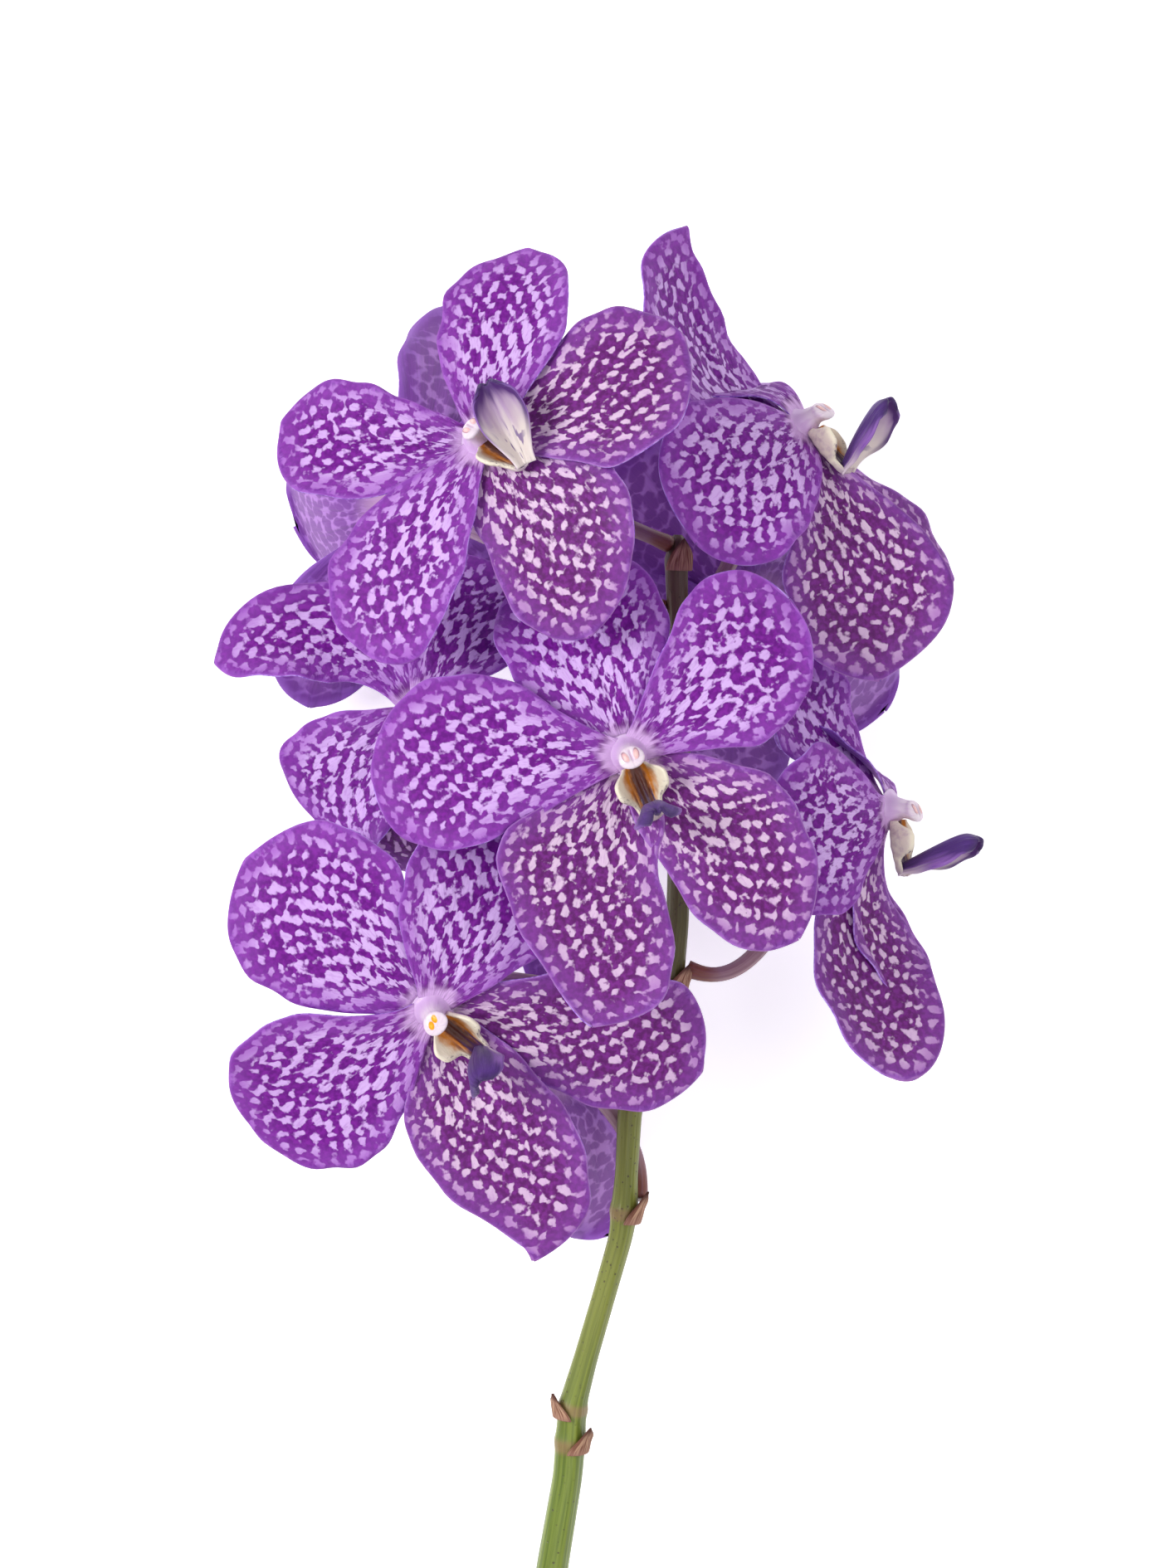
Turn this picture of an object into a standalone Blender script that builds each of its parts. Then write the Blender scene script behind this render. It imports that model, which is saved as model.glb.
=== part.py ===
"""A cut flower spray of a spotted violet vanda orchid, laid down on a table.

The spray lies on its back blooms and on the cut end of its stem. +Z is up from the table, and +Y
runs from the cut end to the top of the spray. Nine blooms stand round the stem on their own stalks.
The tables are in millimetres from a point near the middle of the blooms, and everything is moved by
frame_shift so that the origin is under the middle of the whole spray.
"""

import math

import bpy
import numpy as np
from mathutils import Quaternion, Vector

mm = 0.001
frame_shift = Vector((-2.4, 43.0, 0.0))

# sepals and petals
blade_thickness_mid = 1.1
blade_thickness_edge = 0.75
blade_root = 1.6
rows_to_widest = 4
rows_past_widest = 3
strips_across = 6
strips_across_behind = 4

# the short seat that the five sepals and petals grow from
seat_radius = 3.3
seat_front = 1.6
seat_back = 3.0
seat_sides = 8
joint_gap = 0.3

# column: radii from its foot to its tip
column_length = 7.2
column_radii = (2.5, 2.25, 2.1, 2.3, 1.5)

# lip, measured from the bloom's middle: how far down its sac goes and how far forward its tongue
lip_drop = 14.5
lip_half_width = 3.4
tongue_length = 19.5
tongue_width = 11.5
tongue_thickness = 1.0
tongue_rise = 3.0
ear_spread = 1.9

# the lips of the three blooms that face the table are smaller
lip_behind = dict(reach=0.65, lift=0.24, slim=0.85, tongue=0.76, rise=4.2)
lip_in_front = dict(reach=1.0, lift=0.0, slim=1.0, tongue=1.0, rise=tongue_rise)

# stalks, stem and the brown scales at its joints
stalk_foot_radius = 1.6
stalk_top_radius = 2.4
stalk_sides = 7
stalk_rings = 8
stem_sides = 10
scale_thickness = 0.8
scale_height = 6.5

# how a sepal or petal widens: its widest point, its width at the root, how slowly it leaves the
# root and how blunt its tip is
outlines = {
    "petal": dict(widest=0.62, claw=0.20, hold=1.45, blunt=0.50),
    "sepal": dict(widest=0.58, claw=0.22, hold=1.25, blunt=0.58),
}


def blade(kind, tip, width, bow=3.0, sway=0.0, curl=0.15, roll=(0, 0), cup=0.10, wave=0.8, beat=1.7, shift=0.0,
          lean=0.0, **outline):
    """A sepal or petal: its tip from the bloom's middle, its width, and how it bows, turns and waves."""
    lean = lean if isinstance(lean, tuple) else (lean, lean)
    made = dict(kind=kind, tip=tip, width=width, bow=bow, sway=sway, curl=curl, roll=roll, cup=cup, wave=wave,
                beat=beat, shift=shift, lean=lean, **{**outlines[kind], **outline})
    if not isinstance(made["blunt"], tuple):  # one number for both sides of the tip
        made["blunt"] = (made["blunt"], made["blunt"])
    return made


blooms = {
    "centre": dict(
        middle=(8.4, 6.1, 80), facing=(0.06, -0.03, 1), lip=(0.37, -0.93, 0), stem_at=14,
        blades=[
            blade("sepal", (-15.5, 41.0, -11), 36, shift=0.2, hold=1.0),
            blade("petal", (33.5, 32.5, -1), 33, shift=0.5, hold=1.3, lean=(-0.4, 0.1)),
            blade("petal", (-53.5, -4.0, -1), 36, shift=0.1, wave=1.4, hold=1.4, lean=(-0.3, 0.05)),
            blade("sepal", (-7.6, -56.5, 1), 35, widest=0.44, lean=(-1.0, 0.4), hold=0.9, shift=0.7, blunt=0.66),
            blade("sepal", (35.5, -38.3, 0), 30.5, widest=0.52, lean=(0.45, 0.0), hold=0.85),
        ]),
    "upper_left": dict(
        middle=(-21.8, 71.6, 80), facing=(-0.35, 0.35, 0.87), lip=(0.80, -0.55, 0.30), stem_at=52,
        tongue=(-0.45, 0.89, 0.12), tongue_drop=14.0,
        blades=[
            blade("sepal", (-43.0, 5.5, -16), 27, sway=4, lean=0.15, widest=0.64, hold=1.1),
            blade("petal", (9.0, 42.0, -16), 29, widest=0.54, hold=0.9, lean=-0.02, blunt=(0.60, 0.60)),
            blade("sepal", (41.5, 21.5, 4), 36, widest=0.60, lean=(-0.42, -0.25), hold=1.0),
            blade("sepal", (22.0, -41.0, 10), 32.5, widest=0.48, hold=0.8, lean=(0.6, 0.15)),
            blade("petal", (-22.2, -45.6, 2), 30, lean=-0.12, blunt=0.42, hold=1.3),
        ]),
    "upper_right": dict(
        middle=(45.8, 76.8, 52), facing=(0.62, 0.50, 0.60), lip=(0.50, -0.80, 0.10), stem_at=39,
        tongue_rise=6.2,
        blades=[
            blade("sepal", (-24.5, 43.0, 0), 31.5, bow=-14, sway=9, lean=(0.1, 0.6), widest=0.42, claw=0.14,
                  hold=1.4, blunt=(1.8, 0.58)),
            blade("petal", (-23.0, -26.3, 26), 37, hold=1.0, lean=-0.2),
            blade("sepal", (16.5, -54.5, 7), 38.5, bow=1, roll=(10, 40), widest=0.62, hold=1.9, blunt=(0.58, 0.90)),
            blade("sepal", (34.0, -32.0, -16), 21, bow=-2, sway=-7),
            blade("petal", (-33.0, 0.0, -24), 27, lean=0.3),
        ]),
    "right": dict(
        middle=(64.6, -5.6, 44), facing=(0.86, 0.02, 0.51), lip=(0.20, -0.97, 0.05), stem_at=-40,
        tongue_rise=7.2, stalk_by=((42.0, -50.0, 36.0), (46.5, -7.0, 32.7)), leave=(1.0, 0.0, 0.0),
        blades=[
            blade("sepal", (-20.0, 34.0, 0), 25, bow=-14, roll=(-10, -25), lean=0.15, claw=0.14),
            blade("petal", (-26.5, -8.0, 27), 37, lean=-0.08, hold=2.0),
            blade("sepal", (5.5, -58.0, 6), 32, bow=-19, roll=(10, 30), lean=(0.3, 0.0), blunt=(0.62, 0.46)),
            blade("sepal", (11.6, -47.0, -12), 21, bow=-16),
            blade("petal", (-21.5, 14.0, -20), 27, bow=-3),
        ]),
    "left": dict(
        middle=(-36.0, 15.6, 58), facing=(-0.25, 0.20, 0.95), lip=(0.75, -0.60, 0.20), stem_at=25,
        tongue_size=0.8,
        blades=[
            blade("sepal", (-44.0, 10.5, -5), 24, sway=-22, roll=(0, 25), widest=0.5),
            blade("petal", (18.5, 31.0, -8), 33),
            blade("petal", (-19.5, -27.0, -12), 31, hold=1.0, lean=-0.2),
            blade("sepal", (2.0, -36.0, -18), 30, bow=0),
            blade("sepal", (22.0, -14.0, -19), 26, bow=0),
        ]),
    "lower_left": dict(
        middle=(-33.2, -47.6, 66), facing=(0.10, -0.36, 0.92), lip=(0.74, -0.67, 0.0), stem_at=-52,
        blades=[
            blade("sepal", (-39.0, 31.5, 4), 40, lean=-0.12, hold=1.4),
            blade("petal", (15.8, 41.4, 3), 37, hold=1.1, lean=(0.1, -0.2)),
            blade("petal", (-36.5, -28.5, -10), 39, widest=0.57, lean=-0.15, hold=1.6, blunt=0.47),
            blade("sepal", (21.5, -54.5, -10), 33, sway=3, widest=0.47, hold=1.0, lean=(-0.3, 0.35), blunt=(1.6, 0.55)),
            blade("sepal", (57.5, -14.0, -12), 33, widest=0.66, lean=0.28, hold=0.95),
        ]),
    "back_upper": dict(
        middle=(-40.0, 62.0, 28), facing=(-0.25, 0.10, -0.96), lip=(0.28, -1.0, -0.1), stem_at=38,
        blades=[
            blade("sepal", (14.5, 46.0, -32), 28),
            blade("petal", (-26.0, -3.0, -33), 30),
            blade("sepal", (-22.5, -44.5, -16), 28, sway=6, bow=-1, hold=2.2),
            blade("sepal", (19.0, -33.0, -20), 28, bow=-1, hold=2.0),
            blade("petal", (32.0, 14.0, -20), 30, bow=-1),
        ]),
    "back_right": dict(
        middle=(37.0, 37.0, 27), facing=(0.25, 0.0, -0.96), lip=(-0.5, -0.85, -0.1), stem_at=22,
        blades=[
            blade("petal", (-29.0, 37.0, -6), 33),
            blade("petal", (30.0, -20.0, -31), 27),
            blade("sepal", (-8.0, -41.0, -20), 30, bow=-2),
            blade("sepal", (20.0, 24.0, -32), 32),
            blade("sepal", (-33.0, -8.0, -18), 30, bow=-2),
        ]),
    "back_lower": dict(
        middle=(-9.8, -60.5, 26), facing=(-0.25, -0.15, -0.95), lip=(-0.42, 0.9, 0.0), stem_at=-92,
        stalk_by=((14.5, -76.0, 17.0), (-7.5, -59.5, 37.0)), leave=(1.0, 0.0, -0.4),
        blades=[
            blade("sepal", (14.0, -42.0, -30), 25),
            blade("petal", (26.0, 10.0, -29), 27),
            blade("sepal", (9.0, 33.0, -23), 26, bow=-1, hold=2.2),
            blade("sepal", (-30.0, 10.0, -29), 26, bow=-1, hold=2.2),
            blade("petal", (-20.0, -26.0, -30), 28),
        ]),
}

# the stem's middle line from its cut end to its tip: x, y, z and radius
stem_line = [
    (-11.8, -205.0, 3.5, 3.6), (-8.1, -176.5, 9.5, 3.55), (-4.6, -155.0, 13.8, 3.3), (-4.0, -147.0, 15.4, 3.35),
    (-3.6, -139.0, 17.0, 3.15), (-0.7, -128.4, 19.1, 2.7), (3.4, -114.0, 21.9, 2.6), (7.3, -100.0, 24.6, 2.65),
    (8.0, -94.3, 25.6, 3.0), (8.5, -85.8, 27.2, 2.5), (9.2, -71.9, 29.8, 2.7), (13.5, -55.0, 33.0, 2.6),
    (18.0, -43.5, 35.0, 3.0), (19.6, -30.0, 37.2, 2.5), (20.0, -8.0, 40.2, 2.35), (19.8, 14.0, 42.6, 2.6),
    (19.6, 34.0, 44.6, 2.2), (19.2, 46.5, 45.6, 2.5), (19.5, 54.0, 46.2, 1.9),
]

# the brown scales: where on the stem's line (its y), the side of the stem they are on, and size
scales = {
    "scale_low_right": (-147.0, (0.8, 0.1, 0.6), 1.0),
    "scale_low_left": (-139.5, (-0.9, 0.1, 0.5), 0.9),
    "scale_back_lower": (-94.3, (0.8, 0.0, 0.4), 1.2),
    "scale_right": (-43.0, (0.7, -0.2, 0.7), 1.0),
    "scale_top": (48.5, (0.3, 0.1, 0.95), 1.1),
}


def half_width(share, spec, across):
    """Half the blade's width as a share of its widest half, at this share of its length and on this side."""
    if share <= spec["widest"]:
        grown = math.sin(share / spec["widest"] * math.pi / 2) ** spec["hold"]
        return spec["claw"] + (1 - spec["claw"]) * grown
    past = (share - spec["widest"]) / (1 - spec["widest"])
    return max(0.0, 1 - past ** 2.3) ** spec["blunt"][across > 0]


def length_steps(spec):
    """Shares of the length at which a blade has a row of points, closer together towards its round tip."""
    widest = spec["widest"]
    first = [widest * i / rows_to_widest for i in range(rows_to_widest)]
    rest = [widest + (1 - widest) * math.sin(i / rows_past_widest * math.pi / 2) for i in range(rows_past_widest)]
    return first + rest + [1.0]


def midrib(bloom, spec):
    """The Bezier points of the blade's midrib, from the bloom's middle."""
    facing = Vector(bloom["facing"]).normalized()
    tip = Vector(spec["tip"])
    outward = (tip - facing * tip.dot(facing)).normalized()
    sideways = facing.cross(outward)
    length = tip.length
    layer = 0.7 if spec["kind"] == "petal" else -0.7
    root = outward * blade_root + facing * layer
    first = root + outward * length * 0.36 + facing * spec["bow"] + sideways * spec["sway"]
    ending = ((tip - first).normalized() - facing * spec["curl"]).normalized()
    return root, first, tip - ending * length * 0.30, tip


def bezier(points, t):
    a, b, c, d = points
    s = 1 - t
    place = a * s**3 + b * 3 * s * s * t + c * 3 * s * t * t + d * t**3
    along = (b - a) * 3 * s * s + (c - b) * 6 * s * t + (d - c) * 3 * t * t
    return place, along.normalized()


def blade_point(bloom, spec, line, share, across):
    """A point of the blade's middle surface, across from -1 to 1."""
    place, along = bezier(line, share)
    facing = Vector(bloom["facing"]).normalized()
    face = (facing - along * facing.dot(along)).normalized()
    turn = math.radians(spec["roll"][0] * (1 - share) + spec["roll"][1] * share)
    face.rotate(Quaternion(along, turn))
    side = face.cross(along)
    lean = max(-0.6, min(0.6, spec["lean"][0] * (1 - share) + spec["lean"][1] * share)) * min(1.0, share * 2.5)
    widest = spec["width"] / 2 * (1 + lean * (1 if across > 0 else -1))
    half = half_width(share, spec, across) * widest
    ripple = math.sin(2 * math.pi * (spec["beat"] * share + spec["shift"]) + (0.9 if across > 0 else 0.0))
    rise = spec["cup"] * half * across * across + spec["wave"] * ripple * abs(across) ** 3 * min(1.0, share * 1.6)
    return Vector(bloom["middle"]) + place + side * across * half + face * rise


def press(front, back):
    """A blade that would dip under the table lies flat on it instead."""
    low = np.minimum(front[:, 2], back[:, 2])
    for low_side, high_side in ((front, back), (back, front)):
        under = (low < 0) & (low_side[:, 2] == low)
        low_side[under, 2] = 0.0
        high_side[under, 2] = np.maximum(high_side[under, 2], blade_thickness_edge)
    return front, back


def blade_surfaces(bloom, spec, steps, strips):
    """Front and back points of a blade, row by row, with one more point for the tip."""
    line = midrib(bloom, spec)
    rows = [[blade_point(bloom, spec, line, share, -1 + 2 * i / strips) for i in range(strips + 1)]
            for share in steps[:-1]]
    tip = np.array(blade_point(bloom, spec, line, 1.0, 0.0))
    points = np.array([[tuple(p) for p in row] for row in rows])
    normal = np.cross(np.gradient(points, axis=1), np.gradient(points, axis=0))
    normal /= np.linalg.norm(normal, axis=2, keepdims=True)
    edge = np.abs(np.linspace(-1, 1, strips + 1)) ** 2
    half = (blade_thickness_mid + (blade_thickness_edge - blade_thickness_mid) * edge)[None, :, None] / 2
    tip_normal = normal[-1].mean(axis=0)
    tip_normal /= np.linalg.norm(tip_normal)
    front = np.vstack([(points - normal * half).reshape(-1, 3), [tip - tip_normal * 0.35]])
    back = np.vstack([(points + normal * half).reshape(-1, 3), [tip + tip_normal * 0.35]])
    return press(front, back)


def sheet_faces(rows, wide, tip):
    """Triangles of one face of a blade and its rim, as numbers of its points."""
    faces = []
    for r in range(rows - 1):
        for c in range(wide - 1):
            a, b = r * wide + c, r * wide + c + 1
            faces += [(a, b, b + wide), (a, b + wide, a + wide)]
    last = (rows - 1) * wide
    faces += [(last + c, last + c + 1, tip) for c in range(wide - 1)]
    rim = list(range(wide)) + [r * wide + wide - 1 for r in range(1, rows)] + [tip]
    return faces, rim + [r * wide for r in range(rows - 1, 0, -1)]


def sheet_object(name, front, back, rows, wide):
    """A closed plate between two matching faces."""
    count = len(front)
    one_side, rim = sheet_faces(rows, wide, count - 1)
    faces = list(one_side) + [(c + count, b + count, a + count) for a, b, c in one_side]
    for a, b in zip(rim, rim[1:] + rim[:1]):
        faces += [(b, a, a + count), (b, a + count, b + count)]
    return mesh_object(name, np.vstack([front, back]), faces)


def blade_object(name, bloom, spec):
    steps = length_steps(spec)
    strips = strips_across_behind if bloom["facing"][2] < 0 else strips_across
    front, back = blade_surfaces(bloom, spec, steps, strips)
    return sheet_object(name, back, front, len(steps) - 1, strips + 1)


def mesh_object(name, points, faces):
    """A mesh object from points in the tables' millimetres."""
    mesh = bpy.data.meshes.new(name)
    places = [tuple((Vector(p) + frame_shift) * mm) for p in points]
    mesh.from_pydata(places, [], [tuple(int(i) for i in f) for f in faces])
    mesh.validate()
    obj = bpy.data.objects.new(name, mesh)
    bpy.context.scene.collection.objects.link(obj)
    return obj


def ring_solid(name, rings):
    """A closed solid through rings with the same number of points, with flat ends."""
    sides = len(rings[0])
    points = [p for ring in rings for p in ring]
    faces = [tuple(range(sides))[::-1], tuple(range((len(rings) - 1) * sides, len(rings) * sides))]
    for r in range(len(rings) - 1):
        for i in range(sides):
            a, b = r * sides + i, r * sides + (i + 1) % sides
            faces.append((a, b, b + sides, a + sides))
    return mesh_object(name, points, faces)


def ring(centre, along, radius, sides, across=None, flat=1.0, turn=0.0):
    """Points round centre, square to along; flat squeezes the ring on its second axis."""
    along = Vector(along).normalized()
    start = Vector(across) if across is not None else along.orthogonal()
    start = (start - along * start.dot(along)).normalized()
    other = along.cross(start)
    angles = [turn + 2 * math.pi * i / sides for i in range(sides)]
    return [Vector(centre) + start * radius * math.cos(a) + other * radius * flat * math.sin(a) for a in angles]


def axes_of(bloom):
    """The bloom's facing direction, the direction of its lip, and across it."""
    facing = Vector(bloom["facing"]).normalized()
    down = Vector(bloom["lip"])
    down = (down - facing * down.dot(facing)).normalized()
    return facing, down, facing.cross(down)


def fuse(name, pieces):
    """One Boolean union of several closed pieces, applied."""
    helpers = bpy.data.collections.new(name + "_pieces")
    bpy.context.scene.collection.children.link(helpers)
    for piece in pieces[1:]:
        bpy.context.scene.collection.objects.unlink(piece)
        helpers.objects.link(piece)
    union = pieces[0].modifiers.new("join", "BOOLEAN")
    union.operation = "UNION"
    union.solver = "EXACT"
    union.operand_type = "COLLECTION"
    union.collection = helpers
    graph = bpy.context.evaluated_depsgraph_get()
    mesh = bpy.data.meshes.new_from_object(pieces[0].evaluated_get(graph))
    mesh.name = name
    made = bpy.data.objects.new(name, mesh)
    bpy.context.scene.collection.objects.link(made)
    for piece in pieces:
        bpy.data.objects.remove(piece)
    bpy.data.collections.remove(helpers)
    return made


def seat_object(bloom):
    facing, down, _ = axes_of(bloom)
    middle = Vector(bloom["middle"])
    levels = [(-seat_back, stalk_top_radius + 0.2), (-0.3, seat_radius), (seat_front, seat_radius * 0.88)]
    rings = [ring(middle + facing * height, facing, radius, seat_sides, down, turn=math.pi / seat_sides)
             for height, radius in levels]
    return ring_solid("seat", rings)


def tepals(name, bloom):
    pieces = [blade_object(f"blade_{i}", bloom, spec) for i, spec in enumerate(bloom["blades"])]
    return fuse(name + "_petals", [seat_object(bloom)] + pieces)


def column(name, bloom):
    """The short column in the middle of the bloom, with a flat side towards the lip."""
    facing, down, _ = axes_of(bloom)
    foot = Vector(bloom["middle"]) + facing * (seat_front + joint_gap)
    last = len(column_radii) - 1
    rings = []
    for i, radius in enumerate(column_radii):
        share = min(1.0, i / last * 1.12)
        rings.append(ring(foot + facing * column_length * share, facing, radius, seat_sides, down,
                          turn=math.pi / seat_sides))
    return ring_solid(name + "_column", rings)


def lip(name, bloom):
    """The lip: a sac under the column, an ear on each side and a tongue that points forwards."""
    facing, down, side = axes_of(bloom)
    middle = Vector(bloom["middle"])
    form = lip_in_front if facing.z > 0 else lip_behind
    lift, slim = form["lift"], form["slim"]
    start = column_radii[0] * math.cos(math.pi / seat_sides) + joint_gap
    sac_levels = [(start, 3.2, 1.9, 0.75), (start + 2.6, lip_half_width, 2.2, 1.3),
                  (lip_drop * 0.62, lip_half_width * 0.95, 2.3, 1.2), (lip_drop * 0.88, 2.4, 2.3, 1.0),
                  (lip_drop, 1.1, 2.7, 0.8)]
    sac = []
    for drop, half, low, grow in sac_levels:
        thick = half * grow
        centre = middle + down * drop + facing * (low + lift * (drop - start) + thick * 0.5)
        sac.append([centre + side * half * slim * math.cos(a) + facing * thick * 0.5 * math.sin(a)
                    for a in [2 * math.pi * i / 6 for i in range(6)]])
    pieces = [ring_solid("sac", sac)]
    for sign in (-1, 1):
        levels = [(2.6, 2.3, 0.9), (5.0, 2.8, 0.8), (7.4, 1.2, 0.45)]
        ear = []
        for height, along_down, thick in levels:
            centre = middle + down * (start + 3.0) + side * sign * (ear_spread * slim + 0.5 * height)
            centre += facing * (height + lift * 2)
            ear.append([centre + down * along_down * math.cos(a) + side * thick * math.sin(a)
                        for a in [2 * math.pi * i / 6 for i in range(6)]])
        if side.cross(down).dot(facing) > 0:
            ear = [level[::-1] for level in ear]
        pieces.append(ring_solid("ear", ear))
    root = middle + down * bloom.get("tongue_drop", lip_drop * 0.86) + facing * (3.4 + lift * 9)
    ahead, hang, rise = facing, down, bloom.get("tongue_rise", form["rise"])
    if "tongue" in bloom:  # a tongue that is bent back over the bloom, with its underside to the viewer
        ahead = Vector(bloom["tongue"]).normalized()
        hang = (Vector((0, 0, 1)) - ahead * ahead.z).normalized()
    wide = ahead.cross(hang)
    size = bloom.get("tongue_size", 1.0)
    shares = [0.0, 0.3, 0.6, 0.88]
    halves = [0.42, 0.72, 1.0, 0.70]
    front, back = [], []
    for share, half in zip(shares + [1.0], halves + [0.0]):
        for across in ([-1, -0.5, 0, 0.5, 1] if half else [0]):
            place = root + ahead * tongue_length * size * form["reach"] * share
            place += wide * across * half * tongue_width * size * form["tongue"] / 2
            place += hang * (2.6 * half * across * across - 0.5 * (across == 0) - rise * share ** 1.5)
            front.append(place - hang * tongue_thickness / 2)
            back.append(place + hang * tongue_thickness / 2)
    pieces.append(sheet_object("tongue", np.array(back), np.array(front), len(shares), 5))
    return fuse(name + "_lip", pieces)


def stem_place(y):
    """Place, direction and radius of the stem where its middle line is at this y."""
    for low, high in zip(stem_line, stem_line[1:]):
        if low[1] <= y <= high[1]:
            share = (y - low[1]) / (high[1] - low[1])
            place = Vector(low[:3]).lerp(Vector(high[:3]), share)
            return place, (Vector(high[:3]) - Vector(low[:3])).normalized(), low[3] + (high[3] - low[3]) * share
    raise ValueError(f"the stem has no point at y {y}")


def stalk_line(bloom):
    """Where a bloom's stalk runs, from the stem's side to the back of the bloom."""
    facing = Vector(bloom["facing"]).normalized()
    top = Vector(bloom["middle"]) - facing * (seat_back + joint_gap)
    place, along, radius = stem_place(bloom["stem_at"])
    away = Vector(bloom.get("leave", tuple(top - place)))
    away = (away - along * away.dot(along)).normalized()
    foot = place + away * (radius + joint_gap + 0.15)
    reach = (top - foot).length
    by = bloom.get("stalk_by", (foot + away * reach * 0.3 + along * reach * 0.1, top - facing * reach * 0.4))
    return (foot, Vector(by[0]), Vector(by[1]), top), away


def stalk(name, bloom):
    line, away = stalk_line(bloom)
    rings = []
    for i in range(stalk_rings):
        share = i / (stalk_rings - 1)
        place, along = bezier(line, share)
        if i == 0:
            along = away
        radius = stalk_foot_radius + (stalk_top_radius - stalk_foot_radius) * share ** 1.5
        across = (0.3, 1.0, 0.1) if abs(along.y) < 0.8 else (1.0, 0.0, 0.2)
        rings.append(ring(place, along, radius, stalk_sides, across))
    return ring_solid(name + "_stalk", straighten(rings))


def straighten(rings):
    """Turns each ring so that its points follow on from the ring before."""
    done = [rings[0]]
    for points in rings[1:]:
        sides = len(points)
        best = min(range(sides), key=lambda k: sum((points[(i + k) % sides] - done[-1][i]).length for i in range(sides)))
        done.append([points[(i + best) % sides] for i in range(sides)])
    return done


def stem():
    rings = []
    places = [Vector(p[:3]) for p in stem_line]
    for i, (place, point) in enumerate(zip(places, stem_line)):
        along = places[min(i + 1, len(places) - 1)] - places[max(i - 1, 0)]
        rings.append(ring(place, along, point[3], stem_sides, Vector((1, 0, 0))))
    return ring_solid("stem", rings)


def scale(name, y, side_of_stem, size):
    """A small pointed scale that hugs the stem at a joint."""
    place, along, radius = stem_place(y)
    out = Vector(side_of_stem)
    out = (out - along * out.dot(along)).normalized()
    round_it = along.cross(out)
    inner, outer = [], []
    shares = [0.0, 0.35, 0.7]
    for share in shares + [1.0]:
        spread = math.radians(62) * (1 - share ** 1.3)
        for part in ([-1, -0.5, 0, 0.5, 1] if share < 1 else [0]):
            angle = spread * part
            ray = out * math.cos(angle) + round_it * math.sin(angle)
            close = radius + 0.55 + 1.3 * share * size
            base = place + along * scale_height * size * (share - 0.3)
            inner.append(base + ray * close)
            outer.append(base + ray * (close + scale_thickness))
    return sheet_object(name, np.array(outer), np.array(inner), len(shares), 5)


def material(name, colour, roughness):
    made = bpy.data.materials.new(name)
    made.use_nodes = True
    shader = made.node_tree.nodes["Principled BSDF"]
    shader.inputs["Base Color"].default_value = (*colour, 1)
    shader.inputs["Roughness"].default_value = roughness
    return made


def others():
    """Everything but the sepals and petals."""
    made = [(stem(), "stem_green")]
    for name, (y, side_of_stem, size) in scales.items():
        made.append((scale(name, y, side_of_stem, size), "scale_brown"))
    for name, bloom in blooms.items():
        made.append((column(name, bloom), "column_pale"))
        made.append((lip(name, bloom), "lip_violet"))
        made.append((stalk(name, bloom), "stalk_mauve"))
    return made


def main():
    for obj in list(bpy.data.objects):
        bpy.data.objects.remove(obj)
    colours = {
        "petal_violet": material("petal_violet", (0.25, 0.08, 0.48), 0.5),
        "column_pale": material("column_pale", (0.68, 0.50, 0.70), 0.4),
        "lip_violet": material("lip_violet", (0.10, 0.03, 0.22), 0.45),
        "stalk_mauve": material("stalk_mauve", (0.32, 0.16, 0.22), 0.5),
        "stem_green": material("stem_green", (0.16, 0.24, 0.05), 0.45),
        "scale_brown": material("scale_brown", (0.25, 0.12, 0.08), 0.7),
    }
    made = others() + [(tepals(name, bloom), "petal_violet") for name, bloom in blooms.items()]
    for obj, colour in made:
        obj.data.materials.clear()
        obj.data.materials.append(colours[colour])


main()
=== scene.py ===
import math

import bpy
import numpy as np
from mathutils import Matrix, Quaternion, Vector


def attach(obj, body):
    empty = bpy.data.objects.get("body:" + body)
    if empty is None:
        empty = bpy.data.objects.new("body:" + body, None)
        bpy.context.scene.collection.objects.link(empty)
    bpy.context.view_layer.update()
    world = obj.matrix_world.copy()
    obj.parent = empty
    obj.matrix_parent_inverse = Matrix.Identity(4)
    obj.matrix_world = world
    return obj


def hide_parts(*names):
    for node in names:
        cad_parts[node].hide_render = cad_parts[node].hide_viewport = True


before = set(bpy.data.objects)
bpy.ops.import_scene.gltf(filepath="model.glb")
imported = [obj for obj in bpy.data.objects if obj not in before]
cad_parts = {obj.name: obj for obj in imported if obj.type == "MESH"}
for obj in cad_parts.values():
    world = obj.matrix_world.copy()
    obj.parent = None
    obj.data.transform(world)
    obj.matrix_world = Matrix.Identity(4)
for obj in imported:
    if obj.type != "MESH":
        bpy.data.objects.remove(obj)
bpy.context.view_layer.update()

# A cut spray of a spotted violet vanda orchid that lies on a pale table, seen from above.
# The tables are in millimetres from a point near the middle of the blooms, as the solids were
# measured, and tableToRoom moves them to where the solids are.

mm = 0.001
tableToRoom = np.array([-2.4, 43.0, 0.0])


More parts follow.
